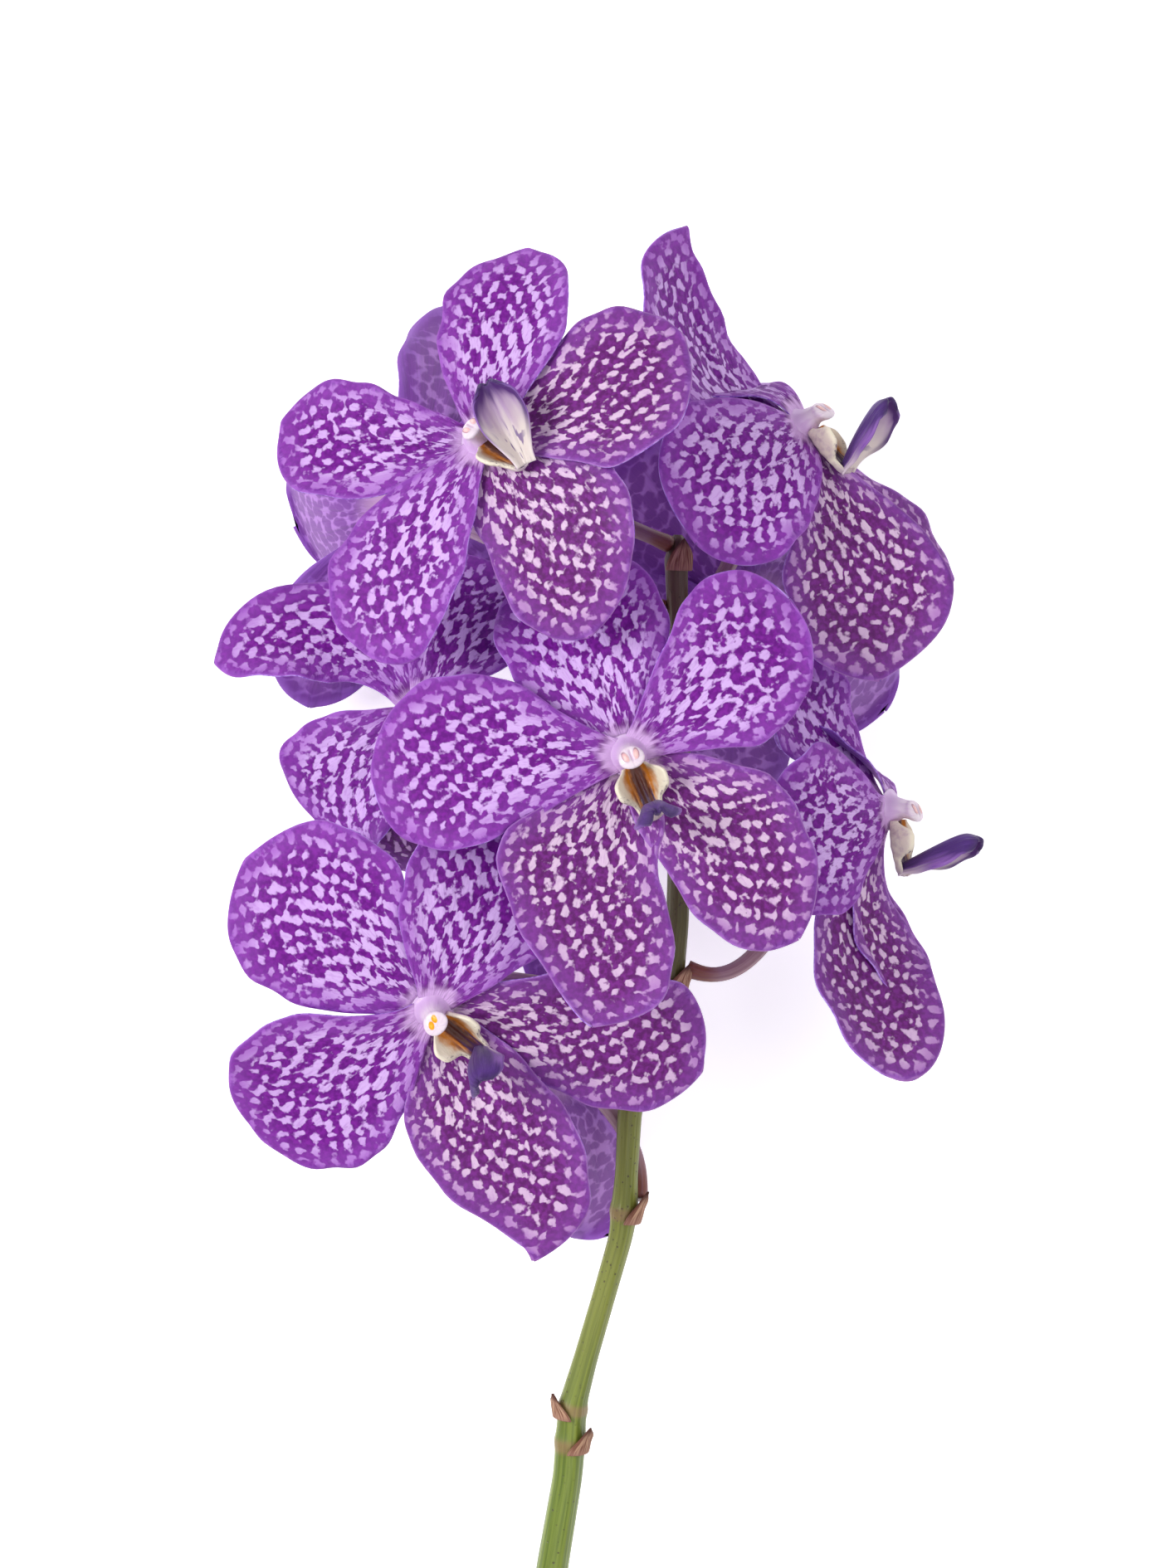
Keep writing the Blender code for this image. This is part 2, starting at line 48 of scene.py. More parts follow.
class Value:
    # one socket of a node tree, so that shader maths reads as a plain expression

    def __init__(self, paint, socket):
        self.paint = paint
        self.socket = socket

    def maths(self, operation, *others):
        values = dict(enumerate((self,) + others))
        return self.paint.add("ShaderNodeMath", {"operation": operation}, values)

    def __add__(self, other):
        return self.maths("ADD", other)

    __radd__ = __add__

    def __mul__(self, other):
        return self.maths("MULTIPLY", other)

    __rmul__ = __mul__

    def __sub__(self, other):
        return self.maths("SUBTRACT", other)

    def __rsub__(self, other):
        return self.paint.add("ShaderNodeMath", {"operation": "SUBTRACT"}, {0: other, 1: self})

    def __truediv__(self, other):
        return self.maths("DIVIDE", other)

    def __rtruediv__(self, other):
        return self.paint.add("ShaderNodeMath", {"operation": "DIVIDE"}, {0: other, 1: self})

    def __pow__(self, other):
        return self.maths("POWER", other)

    def __abs__(self):
        return self.maths("ABSOLUTE")

    def atMost(self, other):
        return self.maths("MINIMUM", other)

    def sine(self):
        return self.maths("SINE")


class Paint:
    # one material and its node tree

    def __init__(self, name, roughness=0.5, subsurface=0.0, radius=(1, 1, 1), scale=0.001, coat=0.0,
                 sheen=0.0, specular=0.5):
        self.material = bpy.data.materials.new(name)
        self.material.use_nodes = True
        self.tree = self.material.node_tree
        self.shader = self.tree.nodes["Principled BSDF"]
        settings = {"Roughness": roughness, "Subsurface Weight": subsurface, "Subsurface Radius": radius,
                    "Subsurface Scale": scale, "Coat Weight": coat, "Sheen Weight": sheen,
                    "Specular IOR Level": specular}
        for socket, number in settings.items():
            self.shader.inputs[socket].default_value = number

    def add(self, kind, settings=None, values=None, out=0):
        node = self.tree.nodes.new(kind)
        for name, setting in (settings or {}).items():
            setattr(node, name, setting)
        for name, value in (values or {}).items():
            if isinstance(value, Value):
                self.tree.links.new(value.socket, node.inputs[name])
            else:
                node.inputs[name].default_value = value
        return Value(self, node.outputs[out])

    def mapPoint(self, name):
        # one of the piece's flat maps as it is
        return self.add("ShaderNodeUVMap", {"uv_map": name})

    def map(self, name):
        # the two numbers of a flat map
        parts = self.add("ShaderNodeSeparateXYZ", {}, {0: self.mapPoint(name)})
        return parts, Value(self, parts.socket.node.outputs[1])

    def point(self, x, y, z=0.0):
        return self.add("ShaderNodeCombineXYZ", {}, {0: x, 1: y, 2: z})

    def wrapPoint(self, angle, size, along=0.0):
        # a point on a tube, so that a pattern round it has no seam
        return self.point(angle.maths("COSINE") * size, angle.maths("SINE") * size, along)

    def fade(self, value, low, high):
        # 0 at low and before it, 1 at high and beyond, smooth between; low may be the larger one
        settings = {"interpolation_type": "SMOOTHSTEP"}
        return self.add("ShaderNodeMapRange", settings, {0: value, 1: low, 2: high})

    def line(self, value, low, high, start, end):
        # from start at low to end at high along a straight line
        return self.add("ShaderNodeMapRange", {}, {0: value, 1: low, 2: high, 3: start, 4: end})

    def noise(self, point, scale=1.0, detail=2.0, flat=True):
        return self.add("ShaderNodeTexNoise", {"noise_dimensions": "2D" if flat else "3D"},
                        {"Vector": point, "Scale": scale, "Detail": detail})

    def cells(self, point, feature="F1", scale=1.0, random=1.0, flat=True):
        settings = {"voronoi_dimensions": "2D" if flat else "3D", "feature": feature}
        return self.add("ShaderNodeTexVoronoi", settings,
                        {"Vector": point, "Scale": scale, "Randomness": random})

    def mix(self, share, first, second):
        return self.add("ShaderNodeMix", {"data_type": "RGBA"}, {0: share, 6: first, 7: second}, 2)

    def cover(self, colour, *layers):
        # a ground with layers over it, each a share and the colour that shows by that share
        for share, over in layers:
            colour = self.mix(share, colour, over)
        return colour

    def bump(self, height, distance, strength):
        values = {"Height": height, "Distance": distance, "Strength": strength}
        return self.add("ShaderNodeBump", {}, values)

    def feed(self, **links):
        names = {"colour": "Base Color", "roughness": "Roughness", "normal": "Normal"}
        for name, value in links.items():
            self.tree.links.new(value.socket, self.shader.inputs[names[name]])
        return self.material


def rgb(red, green, blue):
    # a colour as it looks on a screen, 0 to 255, turned into light
    parts = [c / 255 for c in (red, green, blue)]
    return tuple(c / 12.92 if c <= 0.04045 else ((c + 0.055) / 1.055) ** 2.4 for c in parts) + (1.0,)


def inks(**colours):
    # named screen colours, turned into light
    return {name: rgb(*colour) for name, colour in colours.items()}


def unit(vector):
    return np.array(Vector(vector).normalized())


def bezierCurve(corners, shares):
    # places and directions along a cubic curve
    a, b, c, d = [np.array(p, float) for p in corners]
    t = np.asarray(shares, float)[:, None]
    s = 1 - t
    place = a * s**3 + b * 3 * s * s * t + c * 3 * s * t * t + d * t**3
    along = (b - a) * 3 * s * s + (c - b) * 6 * s * t + (d - c) * 3 * t * t
    return place, along / np.linalg.norm(along, axis=1, keepdims=True)


def smoothThrough(table, shares):
    # a smooth curve through evenly spaced rows of a table, read at shares from 0 to 1
    rows = np.array(table, float)
    rows = rows[:, None] if rows.ndim == 1 else rows
    padded = np.vstack([2 * rows[0] - rows[1], rows, 2 * rows[-1] - rows[-2]])
    at = np.clip(np.asarray(shares, float), 0, 1) * (len(rows) - 1)
    i = np.minimum(at.astype(int), len(rows) - 2)
    t = (at - i)[:, None]
    p0, p1, p2, p3 = padded[i], padded[i + 1], padded[i + 2], padded[i + 3]
    square, cube = 2 * p0 - 5 * p1 + 4 * p2 - p3, 3 * p1 - p0 - 3 * p2 + p3
    return 0.5 * (2 * p1 + (p2 - p0) * t + square * t**2 + cube * t**3)


def hump(x, wide):
    # a soft hump, 1 in the middle and near 0 at twice its width
    return np.exp(-((x / wide) ** 2))


def pairUp(first, second):
    # two numbers for each point of a grid, as its flat map
    return np.stack(np.broadcast_arrays(first, second), 2)


def ring(middle, sideways, forwards, x, y):
    # points round a middle: x along one direction and y along the other
    return middle + sideways * x[:, None] + forwards * y[:, None]


def squareTo(grid, row, toward):
    # directions square to a grid of points, on the side that faces the given way at this row
    square = np.cross(np.gradient(grid, axis=1), np.gradient(grid, axis=0))
    square /= np.maximum(np.linalg.norm(square, axis=2, keepdims=True), 1e-9)
    return -square if square[row, square.shape[1] // 2].dot(toward) < 0 else square


def gridFaces(rows, wide, start=0, closed=False, flip=False):
    # four-sided faces between the points of a grid that is stored row by row
    faces = []
    for r in range(rows - 1):
        for c in range(wide if closed else wide - 1):
            a, b = start + r * wide + c, start + r * wide + (c + 1) % wide
            face = (a, b, b + wide, a + wide)
            faces.append(face[::-1] if flip else face)
    return faces


class Shape:
    # points, faces, which material each face has and flat maps, gathered for one piece

    def __init__(self, *maps):
        self.points, self.faces, self.paints = [], [], []
        self.maps = {name: [] for name in maps}

    def count(self):
        return sum(len(p) for p in self.points)

    def addPoints(self, points, **maps):
        start = self.count()
        points = np.asarray(points, float).reshape(-1, 3)
        self.points.append(points)
        for name in self.maps:
            flat = maps.get(name, np.zeros((len(points), 2)))
            self.maps[name].append(np.asarray(flat, float).reshape(-1, 2))
        return start

    def addFaces(self, faces, paint=0):
        self.faces += faces
        self.paints += [paint] * len(faces)

    def addTube(self, rings, paint=0, ends=(True, True), **maps):
        # rings is rows of points round a closed tube
        rings = np.asarray(rings, float)
        rows, sides = rings.shape[:2]
        start = self.addPoints(rings, **maps)
        self.addFaces(gridFaces(rows, sides, start, closed=True), paint)
        if ends[0]:
            self.addFaces([tuple(range(start + sides - 1, start - 1, -1))], paint)
        if ends[1]:
            last = start + (rows - 1) * sides
            self.addFaces([tuple(range(last, last + sides))], paint)

    def addSheet(self, front, back, paints=(0, 0, 0), **maps):
        # a thin closed sheet between two matching grids: front and back faces and the rim round them
        rows, wide = front.shape[:2]
        a = self.addPoints(front, **maps)
        b = self.addPoints(back, **maps)
        self.addFaces(gridFaces(rows, wide, a), paints[0])
        self.addFaces(gridFaces(rows, wide, b, flip=True), paints[1])
        rim = list(range(wide)) + [r * wide + wide - 1 for r in range(1, rows)]
        rim += [(rows - 1) * wide + c for c in range(wide - 2, -1, -1)]
        rim += [r * wide for r in range(rows - 2, 0, -1)]
        self.addFaces([(a + q, a + p, b + p, b + q) for p, q in zip(rim, rim[1:] + rim[:1])], paints[2])

    def build(self, name, materials, nodes):
        points = (np.vstack(self.points) + tableToRoom) * mm
        mesh = bpy.data.meshes.new(name)
        mesh.from_pydata(points.tolist(), [], self.faces)
        for material in materials:
            mesh.materials.append(material)
        mesh.polygons.foreach_set("material_index", np.array(self.paints, np.int32))
        mesh.polygons.foreach_set("use_smooth", np.ones(len(self.faces), bool))
        corners = np.zeros(len(mesh.loops), np.int32)
        mesh.loops.foreach_get("vertex_index", corners)
        for mapName, flat in self.maps.items():
            layer = mesh.uv_layers.new(name=mapName)
            layer.data.foreach_set("uv", np.vstack(flat)[corners].astype(np.float32).ravel())
        mesh.update()
        piece = bpy.data.objects.new(name, mesh)
        bpy.context.scene.collection.objects.link(piece)
        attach(piece, "root")
        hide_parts(*nodes)
        return piece


def tepal(kind, tip, width, bow=3.0, sway=0.0, curl=0.15, roll=(0, 0), cup=0.10, wave=0.8, beat=1.7,
          shift=0.0, lean=0.0, **outline):
    # a sepal or petal: its tip from the bloom's middle, its width, and how it bows, turns and waves
    outlines = {"petal": dict(widest=0.62, claw=0.20, hold=1.45, blunt=0.50),
                "dorsal": dict(widest=0.58, claw=0.22, hold=1.25, blunt=0.58),
                "side": dict(widest=0.58, claw=0.22, hold=1.25, blunt=0.58)}
    lean = lean if isinstance(lean, tuple) else (lean, lean)
    made = dict(kind=kind, tip=tip, width=width, bow=bow, sway=sway, curl=curl, roll=roll, cup=cup,
                wave=wave, beat=beat, shift=shift, lean=lean, **{**outlines[kind], **outline})
    if not isinstance(made["blunt"], tuple):  # one number for both sides of the tip
        made["blunt"] = (made["blunt"], made["blunt"])
    return made


blooms = {
    "centre": dict(
        middle=(8.4, 6.1, 80), facing=(0.06, -0.03, 1), lip=(0.37, -0.93, 0), stemAt=14,
        tongueNod=2.8, tongueHang=3.4, tongueLobes=1.5,
        tepals=[
            tepal("dorsal", (-15.5, 41.0, -11), 36, shift=0.2, hold=1.0),
            tepal("petal", (33.5, 32.5, -1), 33, shift=0.5, hold=1.3, lean=(-0.4, 0.1)),
            tepal("petal", (-53.5, -4.0, -1), 36, shift=0.1, wave=1.4, hold=1.4, lean=(-0.3, 0.05)),
            tepal("side", (-7.6, -56.5, 1), 35, widest=0.44, lean=(-1.0, 0.4), hold=0.9, shift=0.7,
                  blunt=0.66),
            tepal("side", (35.5, -38.3, 0), 30.5, widest=0.52, lean=(0.45, 0.0), hold=0.85),
        ]),
    "upper_left": dict(
        middle=(-21.8, 71.6, 80), facing=(-0.35, 0.35, 0.87), lip=(0.80, -0.55, 0.30), stemAt=52,
        tongue=(-0.45, 0.89, 0.12), tongueDrop=14.0, ears=(0.72, 0.72),
        tepals=[
            tepal("dorsal", (-43.0, 5.5, -16), 27, sway=4, lean=0.15, widest=0.64, hold=1.1),
            tepal("petal", (9.0, 42.0, -16), 29, widest=0.54, hold=0.9, lean=-0.02, blunt=(0.60, 0.60)),
            tepal("side", (41.5, 21.5, 4), 36, widest=0.60, lean=(-0.42, -0.25), hold=1.0),
            tepal("side", (22.0, -41.0, 10), 32.5, widest=0.48, hold=0.8, lean=(0.6, 0.15)),
            tepal("petal", (-22.2, -45.6, 2), 30, lean=-0.12, blunt=0.42, hold=1.3),
        ]),
    "upper_right": dict(
        middle=(45.8, 76.8, 52), facing=(0.62, 0.50, 0.60), lip=(0.50, -0.80, 0.10), stemAt=39,
        tongueRise=6.2, ears=(1.35, 0.3),
        tepals=[
            tepal("dorsal", (-24.5, 43.0, 0), 31.5, bow=-14, sway=9, lean=(0.1, 0.6), widest=0.42,
                  claw=0.14, hold=1.4, blunt=(1.8, 0.58)),
            tepal("petal", (-23.0, -26.3, 26), 37, hold=1.0, lean=-0.2),
            tepal("side", (16.5, -54.5, 7), 38.5, bow=1, roll=(10, 40), widest=0.62, hold=1.9,
                  blunt=(0.58, 0.90)),
            tepal("side", (34.0, -32.0, -16), 21, bow=-2, sway=-7),
            tepal("petal", (-33.0, 0.0, -24), 27, lean=0.3),
        ]),
    "right": dict(
        middle=(64.6, -5.6, 44), facing=(0.86, 0.02, 0.51), lip=(0.20, -0.97, 0.05), stemAt=-40,
        tongueRise=7.2, ears=(1.35, 0.25),
        stalkBy=((42.0, -50.0, 36.0), (46.5, -7.0, 32.7)), leave=(1.0, 0.0, 0.0),
        tepals=[
            tepal("dorsal", (-20.0, 34.0, 0), 25, bow=-14, roll=(-10, -25), lean=0.15, claw=0.14),
            tepal("petal", (-26.5, -8.0, 27), 37, lean=-0.08, hold=2.0),
            tepal("side", (5.5, -58.0, 6), 32, bow=-19, roll=(10, 30), lean=(0.3, 0.0), blunt=(0.62, 0.46)),
            tepal("side", (11.6, -47.0, -12), 21, bow=-16),
            tepal("petal", (-21.5, 14.0, -20), 27, bow=-3),
        ]),
    "left": dict(
        middle=(-36.0, 15.6, 58), facing=(-0.25, 0.20, 0.95), lip=(0.75, -0.60, 0.20), stemAt=25,
        tongueSize=0.8,
        tepals=[
            tepal("dorsal", (-44.0, 10.5, -5), 24, sway=-22, roll=(0, 25), widest=0.5),
            tepal("petal", (18.5, 31.0, -8), 33),
            tepal("petal", (-19.5, -27.0, -12), 31, hold=1.0, lean=-0.2),
            tepal("side", (2.0, -36.0, -18), 30, bow=0),
            tepal("side", (22.0, -14.0, -19), 26, bow=0),
        ]),
    "lower_left": dict(
        middle=(-33.2, -47.6, 66), facing=(0.10, -0.36, 0.92), lip=(0.74, -0.67, 0.0), stemAt=-52,
        tongueNod=1.6, tongueHang=4.0,
        tepals=[
            tepal("dorsal", (-39.0, 31.5, 4), 40, lean=-0.12, hold=1.4),
            tepal("petal", (15.8, 41.4, 3), 37, hold=1.1, lean=(0.1, -0.2)),
            tepal("petal", (-36.5, -28.5, -10), 39, widest=0.57, lean=-0.15, hold=1.6, blunt=0.47),
            tepal("side", (21.5, -54.5, -10), 33, sway=3, widest=0.47, hold=1.0, lean=(-0.3, 0.35),
                  blunt=(1.6, 0.55)),
            tepal("side", (57.5, -14.0, -12), 33, widest=0.66, lean=0.28, hold=0.95),
        ]),
    "back_upper": dict(
        middle=(-40.0, 62.0, 28), facing=(-0.25, 0.10, -0.96), lip=(0.28, -1.0, -0.1), stemAt=38,
        tepals=[
            tepal("dorsal", (14.5, 46.0, -32), 28),
            tepal("petal", (-26.0, -3.0, -33), 30),
            tepal("side", (-22.5, -44.5, -16), 28, sway=6, bow=-1, hold=2.2),
            tepal("side", (19.0, -33.0, -20), 28, bow=-1, hold=2.0),
            tepal("petal", (32.0, 14.0, -20), 30, bow=-1),
        ]),
    "back_right": dict(
        middle=(37.0, 37.0, 27), facing=(0.25, 0.0, -0.96), lip=(-0.5, -0.85, -0.1), stemAt=22,
        tepals=[
            tepal("petal", (-29.0, 37.0, -6), 33),
            tepal("petal", (30.0, -20.0, -31), 27),
            tepal("side", (-8.0, -41.0, -20), 30, bow=-2),
            tepal("dorsal", (20.0, 24.0, -32), 32),
            tepal("side", (-33.0, -8.0, -18), 30, bow=-2),
        ]),
    "back_lower": dict(
        middle=(-9.8, -60.5, 26), facing=(-0.25, -0.15, -0.95), lip=(-0.42, 0.9, 0.0), stemAt=-92,
        stalkBy=((14.5, -76.0, 17.0), (-7.5, -59.5, 37.0)), leave=(1.0, 0.0, -0.4),
        tepals=[
            tepal("dorsal", (14.0, -42.0, -30), 25),
            tepal("petal", (26.0, 10.0, -29), 27),
            tepal("side", (9.0, 33.0, -23), 26, bow=-1, hold=2.2),
            tepal("side", (-30.0, 10.0, -29), 26, bow=-1, hold=2.2),
            tepal("petal", (-20.0, -26.0, -30), 28),
        ]),
}


def axesOf(bloom):
    # the way the bloom faces, the way its lip hangs, and across it
    facing = unit(bloom["facing"])
    down = np.array(bloom["lip"], float)
    down = unit(down - facing * down.dot(facing))
    return facing, down, np.cross(facing, down)


tepalForm = dict(
    rowsToWidest=26, rowsPastWidest=22, strips=34,   # how fine the mesh is
    firstPull=0.36, lastPull=0.30,                   # the curve's handles, as shares of the length
    layer=0.7,                                       # mm, petals start in front of sepals by twice this
    thickMiddle=1.0, thickEdge=0.32,                 # mm
    frill=0.45, frillBeat=4.3,                       # mm, and how many small waves run along the margin
    groove=0.35, grooveWide=1.1,                     # mm, the midrib
    quilt=0.16, quiltVeins=26,                       # mm, puckering between the veins
    notch=0.018,                                     # share of the width by which the outline wanders
    rootOut=1.6, fanPoint=4.0,                       # mm, where a tepal starts, where its veins spread
)

# the seat of a bloom: how far forward each level is, and its radius
hubForm = dict(
    levels=((-3.0, 2.6), (-1.6, 2.95), (-0.3, 3.3), (0.8, 3.2), (1.6, 2.5), (1.85, 1.2)),
    sides=28,
)


def halfWidths(shares, spec, across):
    # the outline: narrow at the claw, full at its widest, blunt at the tip, which may differ on each side
    grown = np.sin(np.minimum(shares / spec["widest"], 1) * math.pi / 2) ** spec["hold"]
    before = spec["claw"] + (1 - spec["claw"]) * grown
    past = np.maximum(shares - spec["widest"], 0) / (1 - spec["widest"])
    after = np.maximum(0, 1 - past**2.3) ** np.where(across > 0, spec["blunt"][1], spec["blunt"][0])
    return np.where(shares <= spec["widest"], before, after)


def tepalCorners(bloom, spec):
    facing, tip = unit(bloom["facing"]), np.array(spec["tip"], float)
    outward = unit(tip - facing * tip.dot(facing))
    length = np.linalg.norm(tip)
    layer = tepalForm["layer"] * (1 if spec["kind"] == "petal" else -1)
    root = outward * tepalForm["rootOut"] + facing * layer
    first = root + outward * length * tepalForm["firstPull"] + facing * spec["bow"]
    first = first + np.cross(facing, outward) * spec["sway"]
    ending = unit(unit(tip - first) - facing * spec["curl"])
    return root, first, tip - ending * length * tepalForm["lastPull"], tip


def tepalGrid(bloom, spec, number):
    # middle surface of a tepal, and the same points spread out flat in mm
    facing = unit(bloom["facing"])
    widest = spec["widest"]
    first = widest * np.arange(tepalForm["rowsToWidest"]) / tepalForm["rowsToWidest"]
    rest = widest + (1 - widest) * np.sin(np.linspace(0, 0.992, tepalForm["rowsPastWidest"]) * math.pi / 2)
    shares = np.concatenate([first, rest])
    across = np.linspace(-1, 1, tepalForm["strips"] + 1)
    across = across * (0.80 + 0.20 * np.abs(across))  # finer along the midrib
    place, along = bezierCurve(tepalCorners(bloom, spec), shares)
    lengths = np.concatenate([[0], np.cumsum(np.linalg.norm(np.diff(place, axis=0), axis=1))])
    face, side = [], []
    for share, way in zip(shares, along):
        up = Vector(facing - way * facing.dot(way)).normalized()
        up.rotate(Quaternion(way, math.radians(spec["roll"][0] * (1 - share) + spec["roll"][1] * share)))
        face.append(np.array(up))
        side.append(np.cross(np.array(up), way))
    face, side = np.array(face)[:, None, :], np.array(side)[:, None, :]
    s, a = shares[:, None], across[None, :]
    farSide = a > 0
    lean = np.clip(spec["lean"][0] * (1 - s) + spec["lean"][1] * s, -0.6, 0.6) * np.minimum(1, s * 2.5)
    # the margin wanders, ripples and frills in its own way on each tepal and on each of its sides
    slow, quick = np.sin(17 * s + number + 2.1 * farSide), np.sin(31 * s + 2 * number + farSide)
    wander = 1 + tepalForm["notch"] * (slow + 0.7 * quick)
    half = halfWidths(s, spec, a) * spec["width"] / 2 * (1 + lean * np.where(farSide, 1, -1)) * wander
    ripple = np.sin(2 * math.pi * (spec["beat"] * s + spec["shift"]) + 0.9 * farSide)
    frill = np.sin(2 * math.pi * (tepalForm["frillBeat"] * s + 0.37 * number) + 2.0 * farSide)
    rise = spec["cup"] * half * a * a + np.minimum(1, s * 1.6) * (
        spec["wave"] * ripple * np.abs(a) ** 3 + tepalForm["frill"] * frill * np.abs(a) ** 7)
    flatX, flatY = a * half, lengths[:, None] + 0 * a
    groove = hump(flatX, tepalForm["grooveWide"]) * np.sin(np.minimum(1, s * 1.3) * math.pi)
    rise -= tepalForm["groove"] * groove
    turn = np.arctan2(flatX, flatY + tepalForm["fanPoint"])
    quilt = np.sin(turn * tepalForm["quiltVeins"] + number) * np.sin(np.minimum(1, s * 1.2) * math.pi)
    rise += tepalForm["quilt"] * quilt
    middle = np.array(bloom["middle"], float) + place[:, None, :]
    middle = middle + side * flatX[:, :, None] + face * rise[:, :, None]
    return middle, flatX, flatY, turn, a


def rimPlaces(flatX, flatY):
    # for each point of the spread-out tepal, how far the margin is and where along it
    sides = (flatX[:, 0], flatY[:, 0]), (flatX[::-1, -1], flatY[::-1, -1])
    outline = np.concatenate([np.stack(side, 1) for side in sides])
    steps = np.linalg.norm(np.diff(outline, axis=0), axis=1)
    run = np.concatenate([[0], np.cumsum(steps)])
    run -= run[len(flatX)]
    starts, ends = outline[:-1], outline[1:]
    points = np.stack([flatX.ravel(), flatY.ravel()], 1)
    span = ends - starts
    size = np.maximum((span**2).sum(1), 1e-9)
    share = np.clip(((points[:, None] - starts[None]) * span[None]).sum(2) / size, 0, 1)
    gaps = np.linalg.norm(points[:, None] - (starts[None] + span[None] * share[:, :, None]), axis=2)
    best = gaps.argmin(1)
    rows = np.arange(len(points))
    return np.stack([run[best] + share[rows, best] * steps[best], gaps[rows, best]], 1)


def addTepal(shape, bloom, spec, number):
    middle, flatX, flatY, turn, a = tepalGrid(bloom, spec, number)
    outward = squareTo(middle, 6, unit(bloom["facing"]))
    thinning = (tepalForm["thickEdge"] - tepalForm["thickMiddle"]) * a**4
    half = (tepalForm["thickMiddle"] + thinning)[:, :, None] / 2
    front, back = middle + outward * half, middle - outward * half
    # a tepal that would dip under the table lies flat on it
    low = np.minimum(front[:, :, 2], back[:, :, 2])
    for lower, upper in ((front, back), (back, front)):
        under = (low < 0) & (lower[:, :, 2] == low)
        lower[under, 2] = 0
        upper[under, 2] = np.maximum(upper[under, 2], tepalForm["thickEdge"])
    # the number moves each tepal to a part of the pattern of its own
    fan = pairUp(turn + 7.0 * number, np.hypot(flatX, flatY))
    flat = pairUp(flatX + 61.0 * number, flatY + 37.0 * number)
    look = 1 if spec["kind"] == "side" else 0
    shape.addSheet(front, back, (look, 2, 3), fan=fan, flat=flat, rim=rimPlaces(flatX, flatY))


def addHub(shape, bloom, number):
    # the short seat that the tepals grow from
    facing, down, side = axesOf(bloom)
    angles = np.linspace(0, 2 * math.pi, hubForm["sides"], endpoint=False)
    rings, fan = [], []
    for height, radius in smoothThrough(hubForm["levels"], np.linspace(0, 1, 12)):
        dent = radius * (1 + 0.035 * np.cos(5 * angles))  # faintly five-sided
        middle = np.array(bloom["middle"]) + facing * height
        rings.append(ring(middle, down, side, dent * np.cos(angles), dent * np.sin(angles)))
        fan.append(np.stack([angles + number, 0 * angles + radius], 1))
    shape.addTube(rings, 4, fan=fan)


tepalLooks = {
    "lavender": inks(pale=(210, 174, 232), shade=(162, 96, 192), blotch=(124, 28, 150), deep=(98, 12, 124),
                     margin=(150, 78, 184), vein=(94, 20, 132), halo=(208, 168, 222), streak=(92, 20, 104)),
    "cream": inks(pale=(218, 190, 218), shade=(174, 120, 190), blotch=(120, 40, 134), deep=(92, 26, 100),
                  margin=(144, 80, 178), vein=(90, 28, 118), halo=(214, 180, 216), streak=(88, 28, 92)),
}

# The spots are the crests of waves. rows: the waves' turn in radians for each radian across the fan;
# pitch: their length outward in mm. near, middle and far: a level added to the waves up to 5 mm out, from
# 15 mm out and at the end; the higher it is, the more of the ground is dark. joins and joined: how many
# mm out the level starts to rise from middle to far, which runs the spots together into a net, and ends.
markings = {
    "lavender": dict(rows=56.0, pitch=5.0, near=0.26, middle=0.04, far=0.24, joins=20.0, joined=38.0),
    "cream": dict(rows=60.0, pitch=5.0, near=0.24, middle=0.12, far=0.32, joins=9.0, joined=30.0),
}


